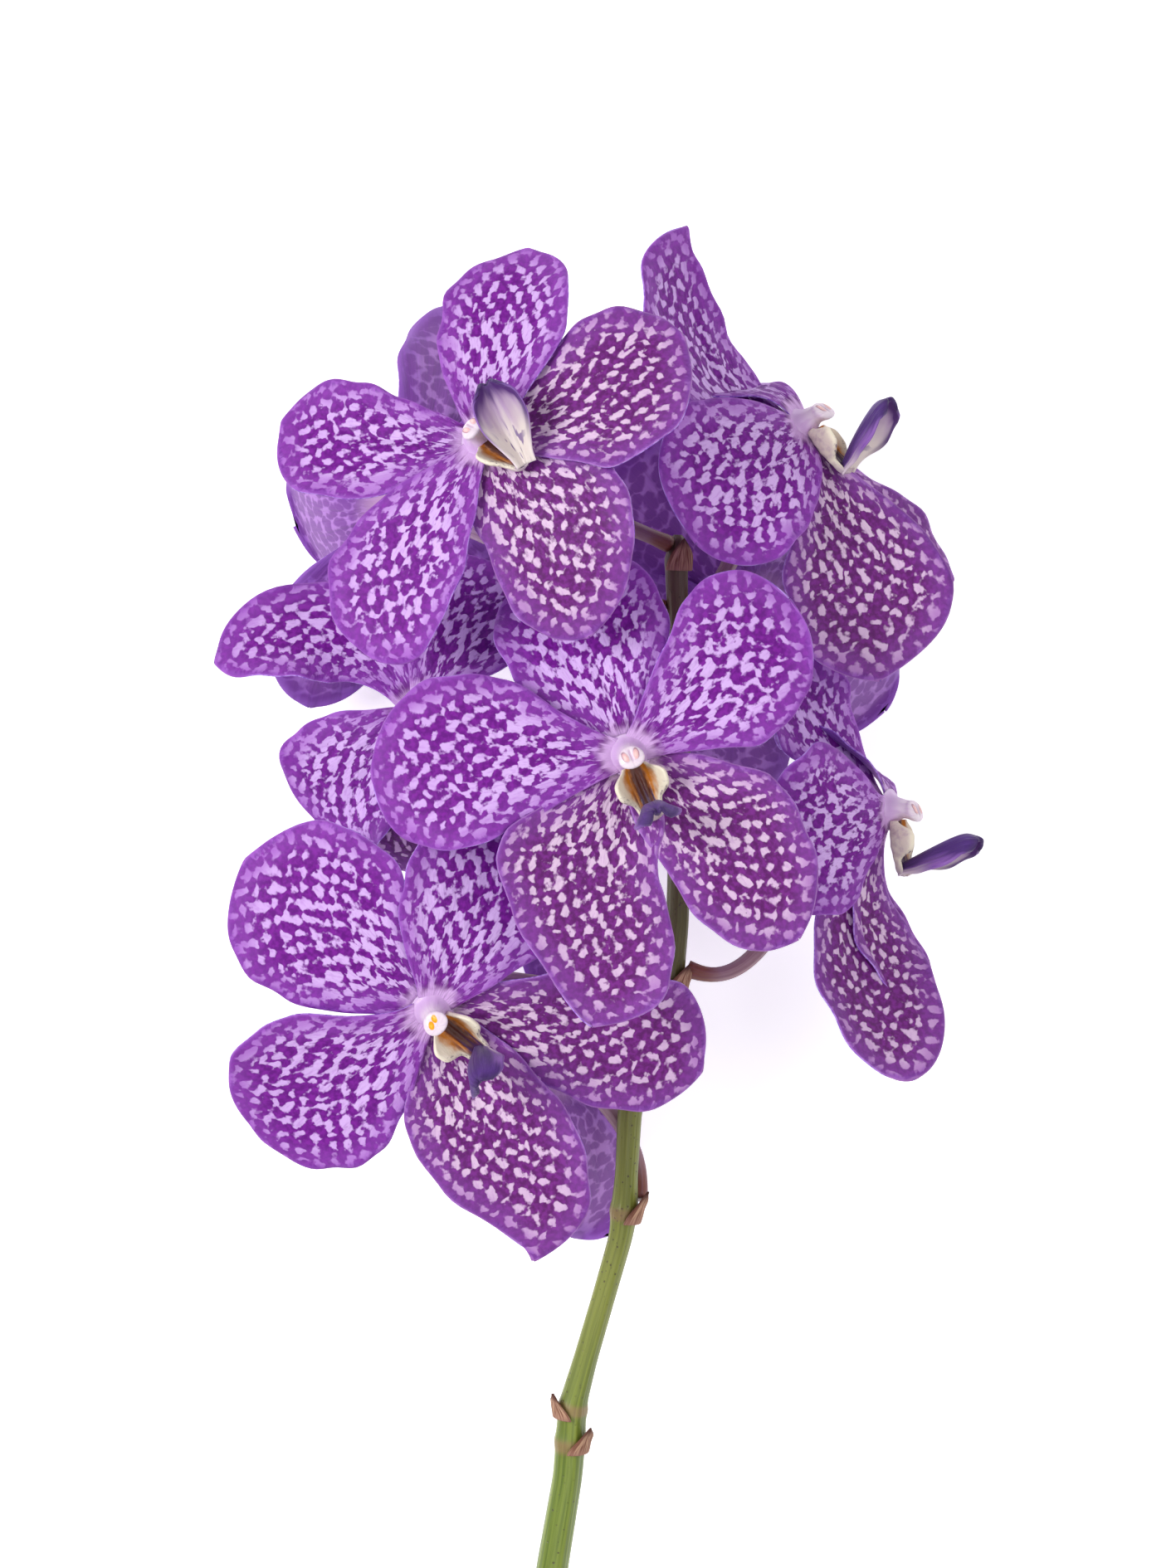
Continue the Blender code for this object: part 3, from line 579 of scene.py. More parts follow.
def tepalPaint(name, look, marking):
    # dark spots in rows along the veins near the root, which join into a net of pale cells further out
    paint = Paint(name, roughness=0.6, subsurface=0.05, radius=(1.0, 0.55, 1.0), scale=0.0006,
                  specular=0.18)
    turn, out = paint.map("fan")
    arc, rim = paint.map("rim")
    flatPoint = paint.mapPoint("flat")
    wobble = paint.noise(flatPoint, 0.42, 3.0) - 0.5
    drift = paint.noise(flatPoint, 0.13, 1.0) - 0.5
    bend = paint.noise(paint.point(turn * 9.0, out * 0.24)) - 0.5
    # three fans of rows, each fitted to its own distance from the root: rows, pitch and strength
    fans = ((22.0, 7.5, 0.85), (marking["rows"] * 0.64, marking["pitch"] * 1.25, 1.0),
            (marking["rows"], marking["pitch"], 1.0))
    fields = []
    for rows, pitch, strength in fans:
        acrossWave = (turn * rows + wobble * 2.0 + bend * 3.4).sine()
        outWave = ((out + wobble * 1.8) * (2 * math.pi / pitch) + bend * 7.0).sine()
        fields.append(acrossWave * outWave * strength)
    toMid = paint.fade(out + wobble * 5, 11.0, 16.0)
    toFar = paint.fade(out + drift * 12, 24.0, 31.0)
    lattice = fields[0] * (1 - toMid) + fields[1] * (toMid * (1 - toFar)) + fields[2] * toFar
    grain = paint.noise(paint.point(turn * 26.0, out * 0.62)) - 0.5
    # a spot lies where lattice and level are high together; far out only pale cells are left between them
    early = paint.line(out, 5.0, 15.0, marking["near"], marking["middle"])
    thicker = marking["far"] - marking["middle"]
    late = paint.line(out + drift * 16, marking["joins"], marking["joined"], 0.0, thicker)
    level = early + late + drift * 0.5
    marks = paint.fade(lattice * 0.90 + wobble * 1.3 + grain * 1.3 + level, -0.24, 0.24)
    # the violet margin with fine dark veins that run out to the edge
    toRim = paint.fade(rim + wobble * 1.8 + drift * 1.2, 1.4, 0.3)
    veinField = paint.cells(paint.point(arc * 0.75 + wobble * 1.2, rim * 0.22), "DISTANCE_TO_EDGE")
    veins = paint.fade(veinField, 0.20, 0.02) * paint.fade(rim, 0.2, 1.2) * paint.fade(out, 14.0, 22.0)
    edge = paint.fade(rim, 0.35, 0.08)
    # the pale ground darkens to violet towards the margin
    groundShade = paint.fade(rim + drift * 5, 6.5, 1.0) * 0.70 + paint.fade(out, 18.0, 50.0) * 0.25
    fine = paint.noise(paint.point(turn * 60.0, out * 0.5))
    ground = paint.cover(look["pale"], (groundShade.atMost(1.0), look["shade"]),
                         (paint.fade(fine, 0.48, 0.72) * 0.30, look["shade"]))
    ink = paint.cover(look["deep"], (paint.fade(paint.noise(flatPoint, 0.9), 0.30, 0.74), look["blotch"]),
                      (paint.fade(rim + drift * 4, 8.0, 2.0) * 0.35, look["margin"]))
    margin = paint.cover(look["margin"], (veins * 0.8, look["vein"]), (marks * 0.35, look["vein"]))
    # pale mauve heart with dark streaks
    streakField = paint.noise(paint.point(turn * 5.0, out * 0.10))
    streaks = paint.fade(streakField, 0.46, 0.57) * paint.fade(out, 3.0, 5.5)
    heart = paint.mix(streaks, look["halo"], look["streak"])
    colour = paint.cover(ground, (marks, ink), (toRim * paint.fade(out, 6.0, 16.0) * 0.85, margin),
                         (edge * 0.6, look["shade"]), (paint.fade(out + wobble * 3, 7.0, 3.5), heart))
    relief = paint.noise(paint.point(turn * 16.0, out * 0.30)) + marks * 0.15
    relief = relief + paint.noise(flatPoint, 6.0, 1.0) * 0.06
    rough = paint.line(fine, 0.3, 0.7, 0.50, 0.62)
    return paint.feed(colour=colour, roughness=rough, normal=paint.bump(relief, 0.0006, 0.5))


backLook = inks(ground=(176, 122, 204), margin=(144, 86, 184), mark=(110, 42, 142), rib=(118, 60, 152),
                root=(205, 165, 205))


def backPaint():
    # the backs are paler and plainer, with the front's marks showing faintly through
    paint = Paint("tepalBack", roughness=0.6, subsurface=0.12, radius=(1.0, 0.6, 1.0), scale=0.0012,
                  sheen=0.2, specular=0.3)
    turn, out = paint.map("fan")
    rim = paint.map("rim")[1]
    wobble = paint.noise(paint.mapPoint("flat"), 0.30, 3.0) - 0.5
    field = paint.cells(paint.point(turn * 12.0 + wobble, out * 0.38 + wobble), random=0.85)
    marks = paint.fade(field, 0.66, 0.38) * paint.fade(rim, 0.4, 2.5)
    rib = paint.noise(paint.point(turn * 22.0, out * 0.08))
    colour = paint.cover(backLook["ground"],
                         (paint.fade(rim + wobble * 4, 7.0, 1.5), backLook["margin"]),
                         (marks * 0.75, backLook["mark"]),
                         (paint.fade(rib, 0.52, 0.70) * 0.35, backLook["rib"]),
                         (paint.fade(out, 12.0, 3.0), backLook["root"]))
    return paint.feed(colour=colour, normal=paint.bump(rib, 0.0006, 0.6))


# the rim's pale colour is partly the thin tissue's own tone and partly a painted edge highlight, broken by
# darker patches
rimHighlightLook = inks(light=(178, 138, 222), dark=(132, 76, 188))


def rimPaint():
    paint = Paint("tepalRimHighlight", roughness=0.5, subsurface=0.15, radius=(1.0, 0.6, 1.0), scale=0.001,
                  specular=0.4)
    turn, out = paint.map("fan")
    patches = paint.fade(paint.noise(paint.point(turn * 14.0, out * 0.9)), 0.4, 0.65)
    # painted edge highlight: the pale rim colour, with darker patches of uneven tone
    return paint.feed(colour=paint.mix(patches, rimHighlightLook["light"], rimHighlightLook["dark"]))


hubLook = inks(light=(218, 186, 226), dark=(176, 122, 184))


def hubPaint():
    paint = Paint("bloomHeart", roughness=0.5, subsurface=0.2, radius=(1.0, 0.6, 0.9), scale=0.0015,
                  specular=0.4)
    turn, out = paint.map("fan")
    streaks = paint.noise(paint.point(turn * 3.0, out * 0.5))
    colour = paint.mix(paint.fade(streaks, 0.5, 0.7), hubLook["light"], hubLook["dark"])
    return paint.feed(colour=colour, normal=paint.bump(streaks, 0.0004, 0.6))


def makeTepals():
    materials = [tepalPaint("tepalLavender", tepalLooks["lavender"], markings["lavender"]),
                 tepalPaint("sepalCream", tepalLooks["cream"], markings["cream"]),
                 backPaint(), rimPaint(), hubPaint()]
    number = 0
    for name, bloom in blooms.items():
        shape = Shape("fan", "flat", "rim")
        for spec in bloom["tepals"]:
            addTepal(shape, bloom, spec, number)
            number += 1
        addHub(shape, bloom, number)
        shape.build(name + "_tepals", materials, [name + "_petals"])


columnForm = dict(
    foot=1.2, length=6.5, sides=40, rows=30,
    nod=0.9,                                    # mm by which the tip leans towards the lip
    capOut=1.15, dropWide=0.56, dropTall=1.0,   # mm, the two drops on the cap
    dropRise=0.34, cleft=0.28,                  # mm, the drops' height, the depth of the line between them
    beak=0.7,                                   # mm by which the side towards the lip reaches further
    # share of the length and radius in mm, from the foot that spreads over the tepals to the tip
    outline=((0.0, 4.6), (0.03, 3.9), (0.14, 3.2), (0.34, 2.6), (0.52, 2.3), (0.70, 2.3), (0.82, 2.55),
             (0.92, 2.55), (0.98, 2.1), (1.005, 1.35), (1.02, 0.5), (1.022, 0.05)),
)


def makeColumn(name, bloom, materials):
    facing, down, side = axesOf(bloom)
    foot = np.array(bloom["middle"]) + facing * columnForm["foot"]
    profile = smoothThrough(columnForm["outline"], np.linspace(0, 1, columnForm["rows"]))
    angles = np.linspace(0, 2 * math.pi, columnForm["sides"], endpoint=False)
    rings, flat, tall = [], [], []
    for share, radius in profile:
        x, y = radius * np.sin(angles), radius * np.cos(angles)  # y towards the lip
        y = np.where(y > 0, y * (1 - 0.22 * min(1.0, share * 1.5)), y)  # flatter towards the lip
        head = max(0.0, share - 0.7) / 0.3
        x, y = x * (1 + 0.12 * head), y + columnForm["nod"] * max(0.0, share - 0.5) / 0.5
        drops = columnForm["dropRise"] * hump(np.abs(x) - columnForm["capOut"], 0.55) * hump(y, 1.0)
        cleft = columnForm["cleft"] * hump(x, 0.3) * hump(y, 1.2)
        lift = (drops - cleft) * min(1.0, max(0.0, (share - 0.8) * 6))
        height = columnForm["length"] * share + columnForm["beak"] * (y / 2.4) * head + lift
        rings.append(ring(foot + facing * height[:, None], side, down, x, y))
        flat.append(np.stack([x, y], 1))
        tall.append(np.stack([angles, 0 * angles + share], 1))
    shape = Shape("face", "tall")
    shape.addTube(rings, 0, face=flat, tall=tall)
    return shape.build(name + "_columnPiece", materials, [name + "_column"])


# the palest drop colour and the palest pollen colour are painted highlights, laid in the middle of each
# drop and grain
columnLook = inks(tip=(234, 218, 230), foot=(208, 172, 220), streak=(196, 152, 208), root=(216, 184, 226),
                  pollen=(240, 164, 20), pollenLight=(255, 206, 70), drop=(232, 184, 186),
                  dropLight=(246, 216, 208), outline=(150, 84, 112), cleft=(168, 104, 166))


def columnPaint(name, spent):
    # spent: the cap has fallen, and two yellow pollen grains show
    paint = Paint(name, roughness=0.38, subsurface=0.12, radius=(1.0, 0.6, 0.8), scale=0.001, coat=0.1,
                  specular=0.4)
    look = columnLook
    x, y = paint.map("face")
    angle, share = paint.map("tall")
    ripple = paint.noise(paint.mapPoint("face"), 1.4) - 0.5
    streaks = paint.noise(paint.wrapPoint(angle, 3.0, share * 2.0), flat=False)
    colour = paint.cover(look["tip"], (paint.fade(share, 0.75, 0.10), look["foot"]),
                         (paint.fade(streaks, 0.45, 0.75) * 0.4, look["streak"]),
                         (paint.fade(share + streaks * 0.1, 0.12, 0.03), look["root"]))
    front = paint.fade(share, 0.84, 0.93)
    sideways = abs(x)
    if spent:
        grain = (sideways - 0.74) ** 2.0 + (y * 0.95 + x * 0.3 + 0.3) ** 2.0
        # each yellow grain gets a paler painted highlight in its middle
        colour = paint.cover(colour, (front * paint.fade(grain, 0.60, 0.40), look["pollen"]),
                             (front * paint.fade(grain, 0.14, 0.0) * 0.6, look["pollenLight"]))
    else:
        # two soft pink drops with thin dark outlines on their outer sides, and a violet line between them;
        # the paler middle of each drop is a painted highlight
        drop = ((sideways - columnForm["capOut"] + y * 0.16) / columnForm["dropWide"]) ** 2.0
        drop = drop + ((y + ripple * 0.3) / columnForm["dropTall"]) ** 2.0 + ripple * 0.5
        outline = paint.fade(drop, 1.9, 1.35) * paint.fade(drop, 0.75, 1.05)
        outside = paint.fade(sideways + y * -0.25, columnForm["capOut"] - 0.5, columnForm["capOut"] + 0.5)
        middle = paint.fade(sideways, 0.36, 0.08) * paint.fade(abs(y), 1.7, 0.9) * front
        colour = paint.cover(colour, (front * paint.fade(drop, 1.3, 0.8), look["drop"]),
                             (front * paint.fade(drop, 0.45, 0.1) * 0.5, look["dropLight"]),
                             (front * outline * (0.15 + outside * 0.55), look["outline"]),
                             (middle * 0.45, look["cleft"]))
    rough = paint.line(streaks, 0.3, 0.7, 0.32, 0.44)
    return paint.feed(colour=colour, roughness=rough, normal=paint.bump(streaks, 0.0003, 0.5))


# the lip: mm from the bloom's middle towards the lip, sideways and forwards
lipForm = dict(
    start=2.61, drop=14.5,                                  # where throat and sac start and end
    halfWidths=(2.3, 2.9, 3.1, 3.0, 2.8, 2.6, 2.3, 1.9),    # from the column to the sac's end
    floors=(3.1, 2.9, 2.9, 3.1, 3.4, 3.8, 4.0, 4.0),        # how far forward the throat's floor is
    bottoms=(1.7, 1.9, 2.0, 2.0, 2.2, 2.4, 2.6, 3.0),       # and the back of the sac
    earDown=6.6, earLong=3.2, earOut=2.4, earTall=4.0,      # the rounded lobe on each side, how it flares
    ridge=0.55,                                             # the low ridge along the throat's floor
    rows=52, fine=36,
)

tongueForm = dict(
    length=19.2, width=10.4, thick=0.8,      # mm
    hang=5.0, rise=3.0, nod=0.6,             # mm: the sides hang, the middle arches up, the tip nods
    ridge=0.75, ridgeOut=0.32,               # mm, and where the two ridges lie across the half width
    lobes=0.9, lobeOut=0.42,                 # the two round lobes of the tip in the same way
    notch=0.055, corners=0.10,               # shares of the length that the tip lacks, middle and sides
    halfWidths=(0.40, 0.46, 0.58, 0.72, 0.86, 0.97, 1.0, 0.98, 0.92, 0.76, 0.42),
    rows=46, strips=31,
)

# the lips of the three blooms that face the table are smaller
lipBehind = dict(reach=0.65, lift=0.24, slim=0.85, tongue=0.76, rise=4.2)
lipInFront = dict(reach=1.0, lift=0.0, slim=1.0, tongue=1.0, rise=tongueForm["rise"])


def addLipBody(shape, middle, axes, form, ears):
    # throat, ears and sac as one closed piece, through rings across the lip
    facing, down, side = axes
    falls = np.linspace(lipForm["start"] - 0.3, lipForm["drop"] + 0.1, lipForm["rows"])
    shares = np.linspace(0, 1, lipForm["rows"])
    table = np.stack([lipForm["halfWidths"], lipForm["floors"], lipForm["bottoms"]], 1)
    steps = np.linspace(0, 1, lipForm["fine"])
    rings, face, tall = [], [], []
    for fall, share, (wide, floor, low) in zip(falls, shares, smoothThrough(table, shares)):
        bump = math.exp(-(((fall - lipForm["earDown"]) / lipForm["earLong"]) ** 4))
        ridge = lipForm["ridge"] * math.sin(min(1.0, share * 1.3) * math.pi)
        close = math.sqrt(max(0.0, 1 - (max(0.0, share - 0.90) / 0.101) ** 2))  # the sac ends round
        halves = []
        for tallness in ears:
            ear = bump * tallness
            flare = lipForm["earOut"] * bump * min(1.0, tallness)
            rim = floor + 0.7 + lipForm["earTall"] * ear - 0.15 * (fall - lipForm["earDown"]) * ear
            # half a ring, sideways and forwards: sac, outer side, rim, inner wall, ridge and floor
            half = [(0.0, low), (wide * 0.7, low + 0.15), (wide + 0.05, max(low + 0.5, floor - 0.9)),
                    (wide + 0.35 + flare * 0.5, floor + 0.2 + ear * 1.8),
                    (wide + 0.15 + flare * 1.02, rim - 0.2 - 0.7 * ear), (wide + 0.05 + flare, rim - 0.05),
                    (wide * 0.98 + flare * 0.80, rim), (wide * 0.9 + flare * 0.55, floor + 0.6 + ear * 2.9),
                    (wide * 0.8 + flare * 0.27, floor + 0.5 + ear * 1.2), (wide * 0.58, floor + 0.1),
                    (wide * 0.29, floor + ridge), (0.0, floor - 0.15)]
            halves.append(smoothThrough(half, steps))
        near, far = halves
        x = np.concatenate([far[:, 0], -near[-2:0:-1, 0]]) * close
        z = np.concatenate([far[:, 1], near[-2:0:-1, 1]])
        z = (z - low - 0.9) * close + low + 0.9
        q = np.concatenate([1 - steps, (1 - steps)[-2:0:-1]])
        crease = 1 + 0.03 * np.sin(fall * 2.6) * (q > 0.75)
        height = z + form["lift"] * (fall - lipForm["start"])
        rings.append(ring(middle + down * fall, side, facing, x * crease * form["slim"], height))
        face.append(np.stack([x, q], 1))
        tall.append(np.stack([0 * q + share, z], 1))
    shape.addTube(rings, 0, face=face, tall=tall)


def addTongue(shape, bloom, middle, axes, form):
    # an arched tongue with a groove between two low ridges; its tip is notched into two round lobes
    facing, down, _ = axes
    root = middle + down * bloom.get("tongueDrop", lipForm["drop"] * 0.86)
    root = root + facing * (3.4 + form["lift"] * 9)
    ahead, hang, rise = facing, down, bloom.get("tongueRise", form["rise"])
    if "tongue" in bloom:  # a tongue that is bent back over the bloom, with its underside to the viewer
        ahead = unit(bloom["tongue"])
        hang = unit(np.array([0.0, 0.0, 1.0]) - ahead * ahead[2])
    wide = np.cross(ahead, hang)
    size = bloom.get("tongueSize", 1.0)
    grown = size * form["tongue"]
    share = np.linspace(0, 1, tongueForm["rows"])[:, None]
    across = np.linspace(-1, 1, tongueForm["strips"])[None, :]
    outward = np.abs(across)
    half = smoothThrough(tongueForm["halfWidths"], share[:, 0])
    notch = tongueForm["notch"] * hump(across, 0.22) + tongueForm["corners"] * outward**3
    reach = tongueForm["length"] * size * form["reach"] * (share - notch * share**6)
    ridge = hump(outward - tongueForm["ridgeOut"], 0.2)
    ridge = ridge * np.sin(np.clip(share * 1.05 + 0.05, 0, 1) * math.pi)
    lobes = hump(outward - tongueForm["lobeOut"], 0.30) * np.clip(share * 3 - 2, 0, 1) ** 2
    raised = tongueForm["ridge"] * ridge + bloom.get("tongueLobes", tongueForm["lobes"]) * lobes
    sag = bloom.get("tongueHang", tongueForm["hang"]) * grown * half * outward**1.35
    fall = sag - raised * grown - rise * (1.25 * share - 0.45 * share**8)
    fall = fall + bloom.get("tongueNod", tongueForm["nod"]) * share**4
    fall = fall + 0.25 * np.sin(share * 14 + across * 2) * outward**4  # slightly uneven edges
    sideways = across * half * tongueForm["width"] * grown / 2
    place = root + ahead * reach[:, :, None] + hang * fall[:, :, None] + wide * sideways[:, :, None]
    square = squareTo(place, tongueForm["rows"] // 2, -hang)
    # thicker along the root's middle and towards the tip, thin at the sides
    thick = tongueForm["thick"] / 2 * (1 + 0.9 * hump(across, 0.25) * (1 - share) + 0.9 * share**6)
    thick = (thick * (1 - 0.55 * across**6) * (1 - 0.5 * share**16))[:, :, None]
    flat = pairUp(across, share)
    shape.addSheet(place + square * thick, place - square * thick, (1, 2, 1), face=flat, tall=flat)


def makeLip(name, bloom, materials):
    axes = axesOf(bloom)
    middle = np.array(bloom["middle"], float)
    form = lipInFront if bloom["facing"][2] > 0 else lipBehind
    shape = Shape("face", "tall")
    addLipBody(shape, middle, axes, form, bloom.get("ears", (1.0, 1.0)))
    addTongue(shape, bloom, middle, axes, form)
    return shape.build(name + "_lipPiece", materials, [name + "_lip"])


lipLook = inks(throat=(78, 34, 26), amber=(188, 112, 26), rim=(238, 228, 206), stripe=(60, 26, 66),
               floor=(74, 40, 96), blush=(204, 182, 184), back=(168, 142, 156), sac=(160, 134, 158),
               fleck=(84, 48, 96), sacEnd=(196, 178, 186))
tongueLook = inks(top=(72, 38, 112), side=(142, 96, 176), rib=(92, 54, 140), root=(226, 208, 218),
                  tip=(56, 30, 84), underRoot=(220, 208, 204), under=(168, 138, 178), streak=(98, 66, 136),
                  underEdge=(82, 46, 112))


def lipBodyPaint():
    # across the body's skin: 0 is the throat's floor, 0.5 the ears' rim, 1 the back of the sac
    body = Paint("lipBody", roughness=0.42, subsurface=0.10, radius=(1.0, 0.8, 0.6), scale=0.0012,
                 coat=0.06, specular=0.35)
    look = lipLook
    x, skin = body.map("face")
    along = body.map("tall")[0]
    grain = body.noise(body.point(x * 1.4, skin * 7.0, along * 9.0), detail=3.0, flat=False) - 0.5
    fine = body.noise(body.point(x * 3.0, skin * 12.0, along * 4.0), flat=False) - 0.5
    lower = body.fade(along + grain * 0.2, 0.32, 0.60)
    stripes = body.fade((x * 5.2 + fine * 1.6).sine(), 0.0, 0.7) * lower * body.fade(skin, 0.30, 0.16)
    floor = body.fade(along + grain * 0.2, 0.62, 0.85) * body.fade(skin, 0.34, 0.20)
    outside = body.fade(skin, 0.56, 0.66)
    fleckField = body.noise(body.point(x * 1.5, skin * 14.0, along * 20.0), detail=1.0, flat=False)
    nearTongue = body.fade(along, 0.36, 0.56) * body.fade(skin, 0.30, 0.40) * body.fade(skin, 0.66, 0.56)
    colour = body.cover(look["throat"],
                        (body.fade(skin + grain * 0.16, 0.10, 0.22), look["amber"]),
                        (body.fade(skin + grain * 0.12 + along * 0.10, 0.24, 0.38), look["rim"]),
                        (stripes, look["stripe"]),
                        (floor * 0.85, look["floor"]),
                        (outside * body.fade(grain, -0.05, 0.22) * 0.5, look["blush"]),
                        (body.fade(skin + grain * 0.2, 0.70, 0.95) * 0.8, look["back"]),
                        (outside * body.fade(along, 0.62, 0.95) * 0.6, look["sac"]),
                        (body.fade(fleckField, 0.57, 0.64) * nearTongue * 0.8, look["fleck"]),
                        (body.fade(along + grain * 0.06, 0.84, 0.91), look["sacEnd"]))
    return body.feed(colour=colour, normal=body.bump(grain + fine * 0.4, 0.0003, 0.5))


def tongueTopPaint():
    top = Paint("tongueTop", roughness=0.48, subsurface=0.04, radius=(0.8, 0.4, 1.0), scale=0.0008,
                sheen=0.1, specular=0.3)
    look = tongueLook
    x, along = top.map("face")
    ribs = top.noise(top.point(x * 6.0, along * 1.8), detail=3.0)
    wide = abs(x) + (ribs - 0.5) * 0.5 - top.fade(along, 0.55, 1.0) * 0.35
    colour = top.cover(look["top"], (top.fade(wide, 0.50, 0.86), look["side"]),
                       (top.fade(ribs, 0.42, 0.7) * 0.5, look["rib"]),
                       (top.fade(wide, 0.72, 1.0) * top.fade(along, 0.55, 0.15), look["root"]),
                       (top.fade(along, 0.88, 1.0) * 0.7, look["tip"]))
    return top.feed(colour=colour, normal=top.bump(ribs, 0.0005, 0.7))


def tongueUnderPaint():
    under = Paint("tongueUnder", roughness=0.48, subsurface=0.08, radius=(1.0, 0.7, 0.8), scale=0.001,
                  specular=0.3)
    look = tongueLook
    x, along = under.map("face")
    ribs = under.noise(under.point(x * 2.4, along * 1.6)) - 0.5
    streaks = under.fade(under.noise(under.point(x * 4.5, along * 5.0), detail=1.0), 0.60, 0.68)
    streaks = streaks * under.fade(along, 0.60, 0.34) * under.fade(abs(x), 0.9, 0.5)
    edges = under.fade(abs(x) + ribs * 0.3, 0.80, 0.98) * under.fade(along, 0.15, 0.55)
    dark = (edges + under.fade(along + ribs * 0.25, 0.66, 0.90)).atMost(1.0)
    colour = under.cover(look["underRoot"], (under.fade(along + ribs * 0.5, 0.30, 0.80), look["under"]),
                         (streaks * 0.8, look["streak"]), (dark, look["underEdge"]))
    return under.feed(colour=colour, normal=under.bump(ribs, 0.0004, 0.6))


stemForm = dict(
    sides=40, step=0.9,              # mm between rings
    flute=0.025,                     # share of the radius
    swell=0.35, swellLong=1.6,       # mm, the joints where scales sit
    hollow=0.35,                     # mm by which the cut end's middle lies back
    cutRings=(1.0, 0.86, 0.7, 0.45, 0.2, 0.02),
)

# the stem's middle line from its cut end to its tip: x, y, z and radius
stemLine = [
    (-11.8, -205.0, 3.5, 3.6), (-8.1, -176.5, 9.5, 3.55), (-4.6, -155.0, 13.8, 3.3),
    (-4.0, -147.0, 15.4, 3.35), (-3.6, -139.0, 17.0, 3.15), (-0.7, -128.4, 19.1, 2.7),
    (3.4, -114.0, 21.9, 2.6), (7.3, -100.0, 24.6, 2.65), (8.0, -94.3, 25.6, 3.0), (8.5, -85.8, 27.2, 2.5),
    (9.2, -71.9, 29.8, 2.7), (13.5, -55.0, 33.0, 2.6), (18.0, -43.5, 35.0, 3.0), (19.6, -30.0, 37.2, 2.5),
    (20.0, -8.0, 40.2, 2.35), (19.8, 14.0, 42.6, 2.6), (19.6, 34.0, 44.6, 2.2), (19.2, 46.5, 45.6, 2.5),
    (19.5, 54.0, 46.2, 1.9),
]

# where on the stem each scale is (its y), the side it is on, and its size
scaleTable = {
    "scale_low_right": (-147.0, (0.8, 0.1, 0.6), 1.0),
    "scale_low_left": (-139.5, (-0.9, 0.1, 0.5), 0.9),
    "scale_back_lower": (-94.3, (0.8, 0.0, 0.4), 1.2),
    "scale_right": (-43.0, (0.7, -0.2, 0.7), 1.0),
    "scale_top": (48.5, (0.3, 0.1, 0.95), 1.1),
}


def stemAt(y):
    # place, direction and radius of the stem where its middle line has this y
    for low, high in zip(stemLine, stemLine[1:]):
        if low[1] <= y <= high[1]:
            share = (y - low[1]) / (high[1] - low[1])
            a, b = np.array(low), np.array(high)
            return a[:3] + (b - a)[:3] * share, unit((b - a)[:3]), low[3] + (high[3] - low[3]) * share


def ringsAlong(places, radii, sides, across, bumps):
    # rings of points round a line, square to it; bumps gives each ring's bulges as shares of its radius
    along = np.gradient(places, axis=0)
    along /= np.linalg.norm(along, axis=1, keepdims=True)
    angles = np.linspace(0, 2 * math.pi, sides, endpoint=False)
    rings, start = [], np.array(across, float)
    for i, (place, way) in enumerate(zip(places, along)):
        start = unit(start - way * start.dot(way))
        other = np.cross(way, start)
        radius = radii[i] * (1 + bumps(i, angles))
        rings.append(ring(place, start, other, radius * np.cos(angles), radius * np.sin(angles)))
    return np.array(rings), angles


def makeStem(material, cutMaterial):
    table = np.array(stemLine)
    ys = table[:, 1]
    at = np.append(np.arange(ys[0], ys[-1], stemForm["step"]), ys[-1])
    # straight between the table's points as in the solid, with its corners rounded
    soft = np.stack([np.interp(at, ys, column) for column in table.T], 1)
    kernel = np.array([1, 4, 6, 4, 1]) / 16
    for _ in range(3):
        inner = [np.convolve(np.pad(column, 2, mode="edge"), kernel, "valid") for column in soft.T]
        inner = np.stack(inner, 1)
        inner[0], inner[-1] = soft[0], soft[-1]
        soft = inner
    swell = sum(hump(at - row[0], stemForm["swellLong"]) for row in scaleTable.values()) * stemForm["swell"]
    radii = soft[:, 3] + swell
    radii[-2:] *= (0.85, 0.5)  # the tip closes
    rings, angles = ringsAlong(soft[:, :3], radii, stemForm["sides"], (1, 0, 0),
                               lambda i, a: stemForm["flute"] * np.sin(5 * a + 0.02 * i))
    rings[:, :, 2] = np.maximum(rings[:, :, 2], 0.12)  # clear of the table
    shape = Shape("wrap")
    shape.addTube(rings, 0, (False, True), wrap=pairUp(angles[None, :], at[:, None]))
    # the cut end: a pale pith in a green ring, slightly hollow
    caps, flat = [], []
    for s in reversed(stemForm["cutRings"]):
        back = np.array([0.0, stemForm["hollow"] * (1 - s), 0.0])
        caps.append(rings[0] * s + rings[0].mean(0) * (1 - s) + back)
        flat.append(np.stack([angles, 0 * angles + s], 1))
    shape.addTube(caps, 1, (True, False), wrap=flat)
    return shape.build("stemPiece", [material, cutMaterial], ["stem"])


stemLook = inks(dark=(84, 104, 26), light=(124, 140, 50), dry=(150, 142, 66), brown=(84, 78, 42),
                top=(92, 60, 52), speck=(62, 44, 36), joint=(150, 112, 84),
                pith=(206, 206, 150), skin=(118, 132, 60), pore=(140, 128, 76))

# the brown rings round the stem's lower joints: y, and how far from it a ring ends and is full, in mm
jointRings = ((-147.6, 2.4, 0.6), (-139.2, 2.0, 0.5), (-94.8, 2.2, 0.6))


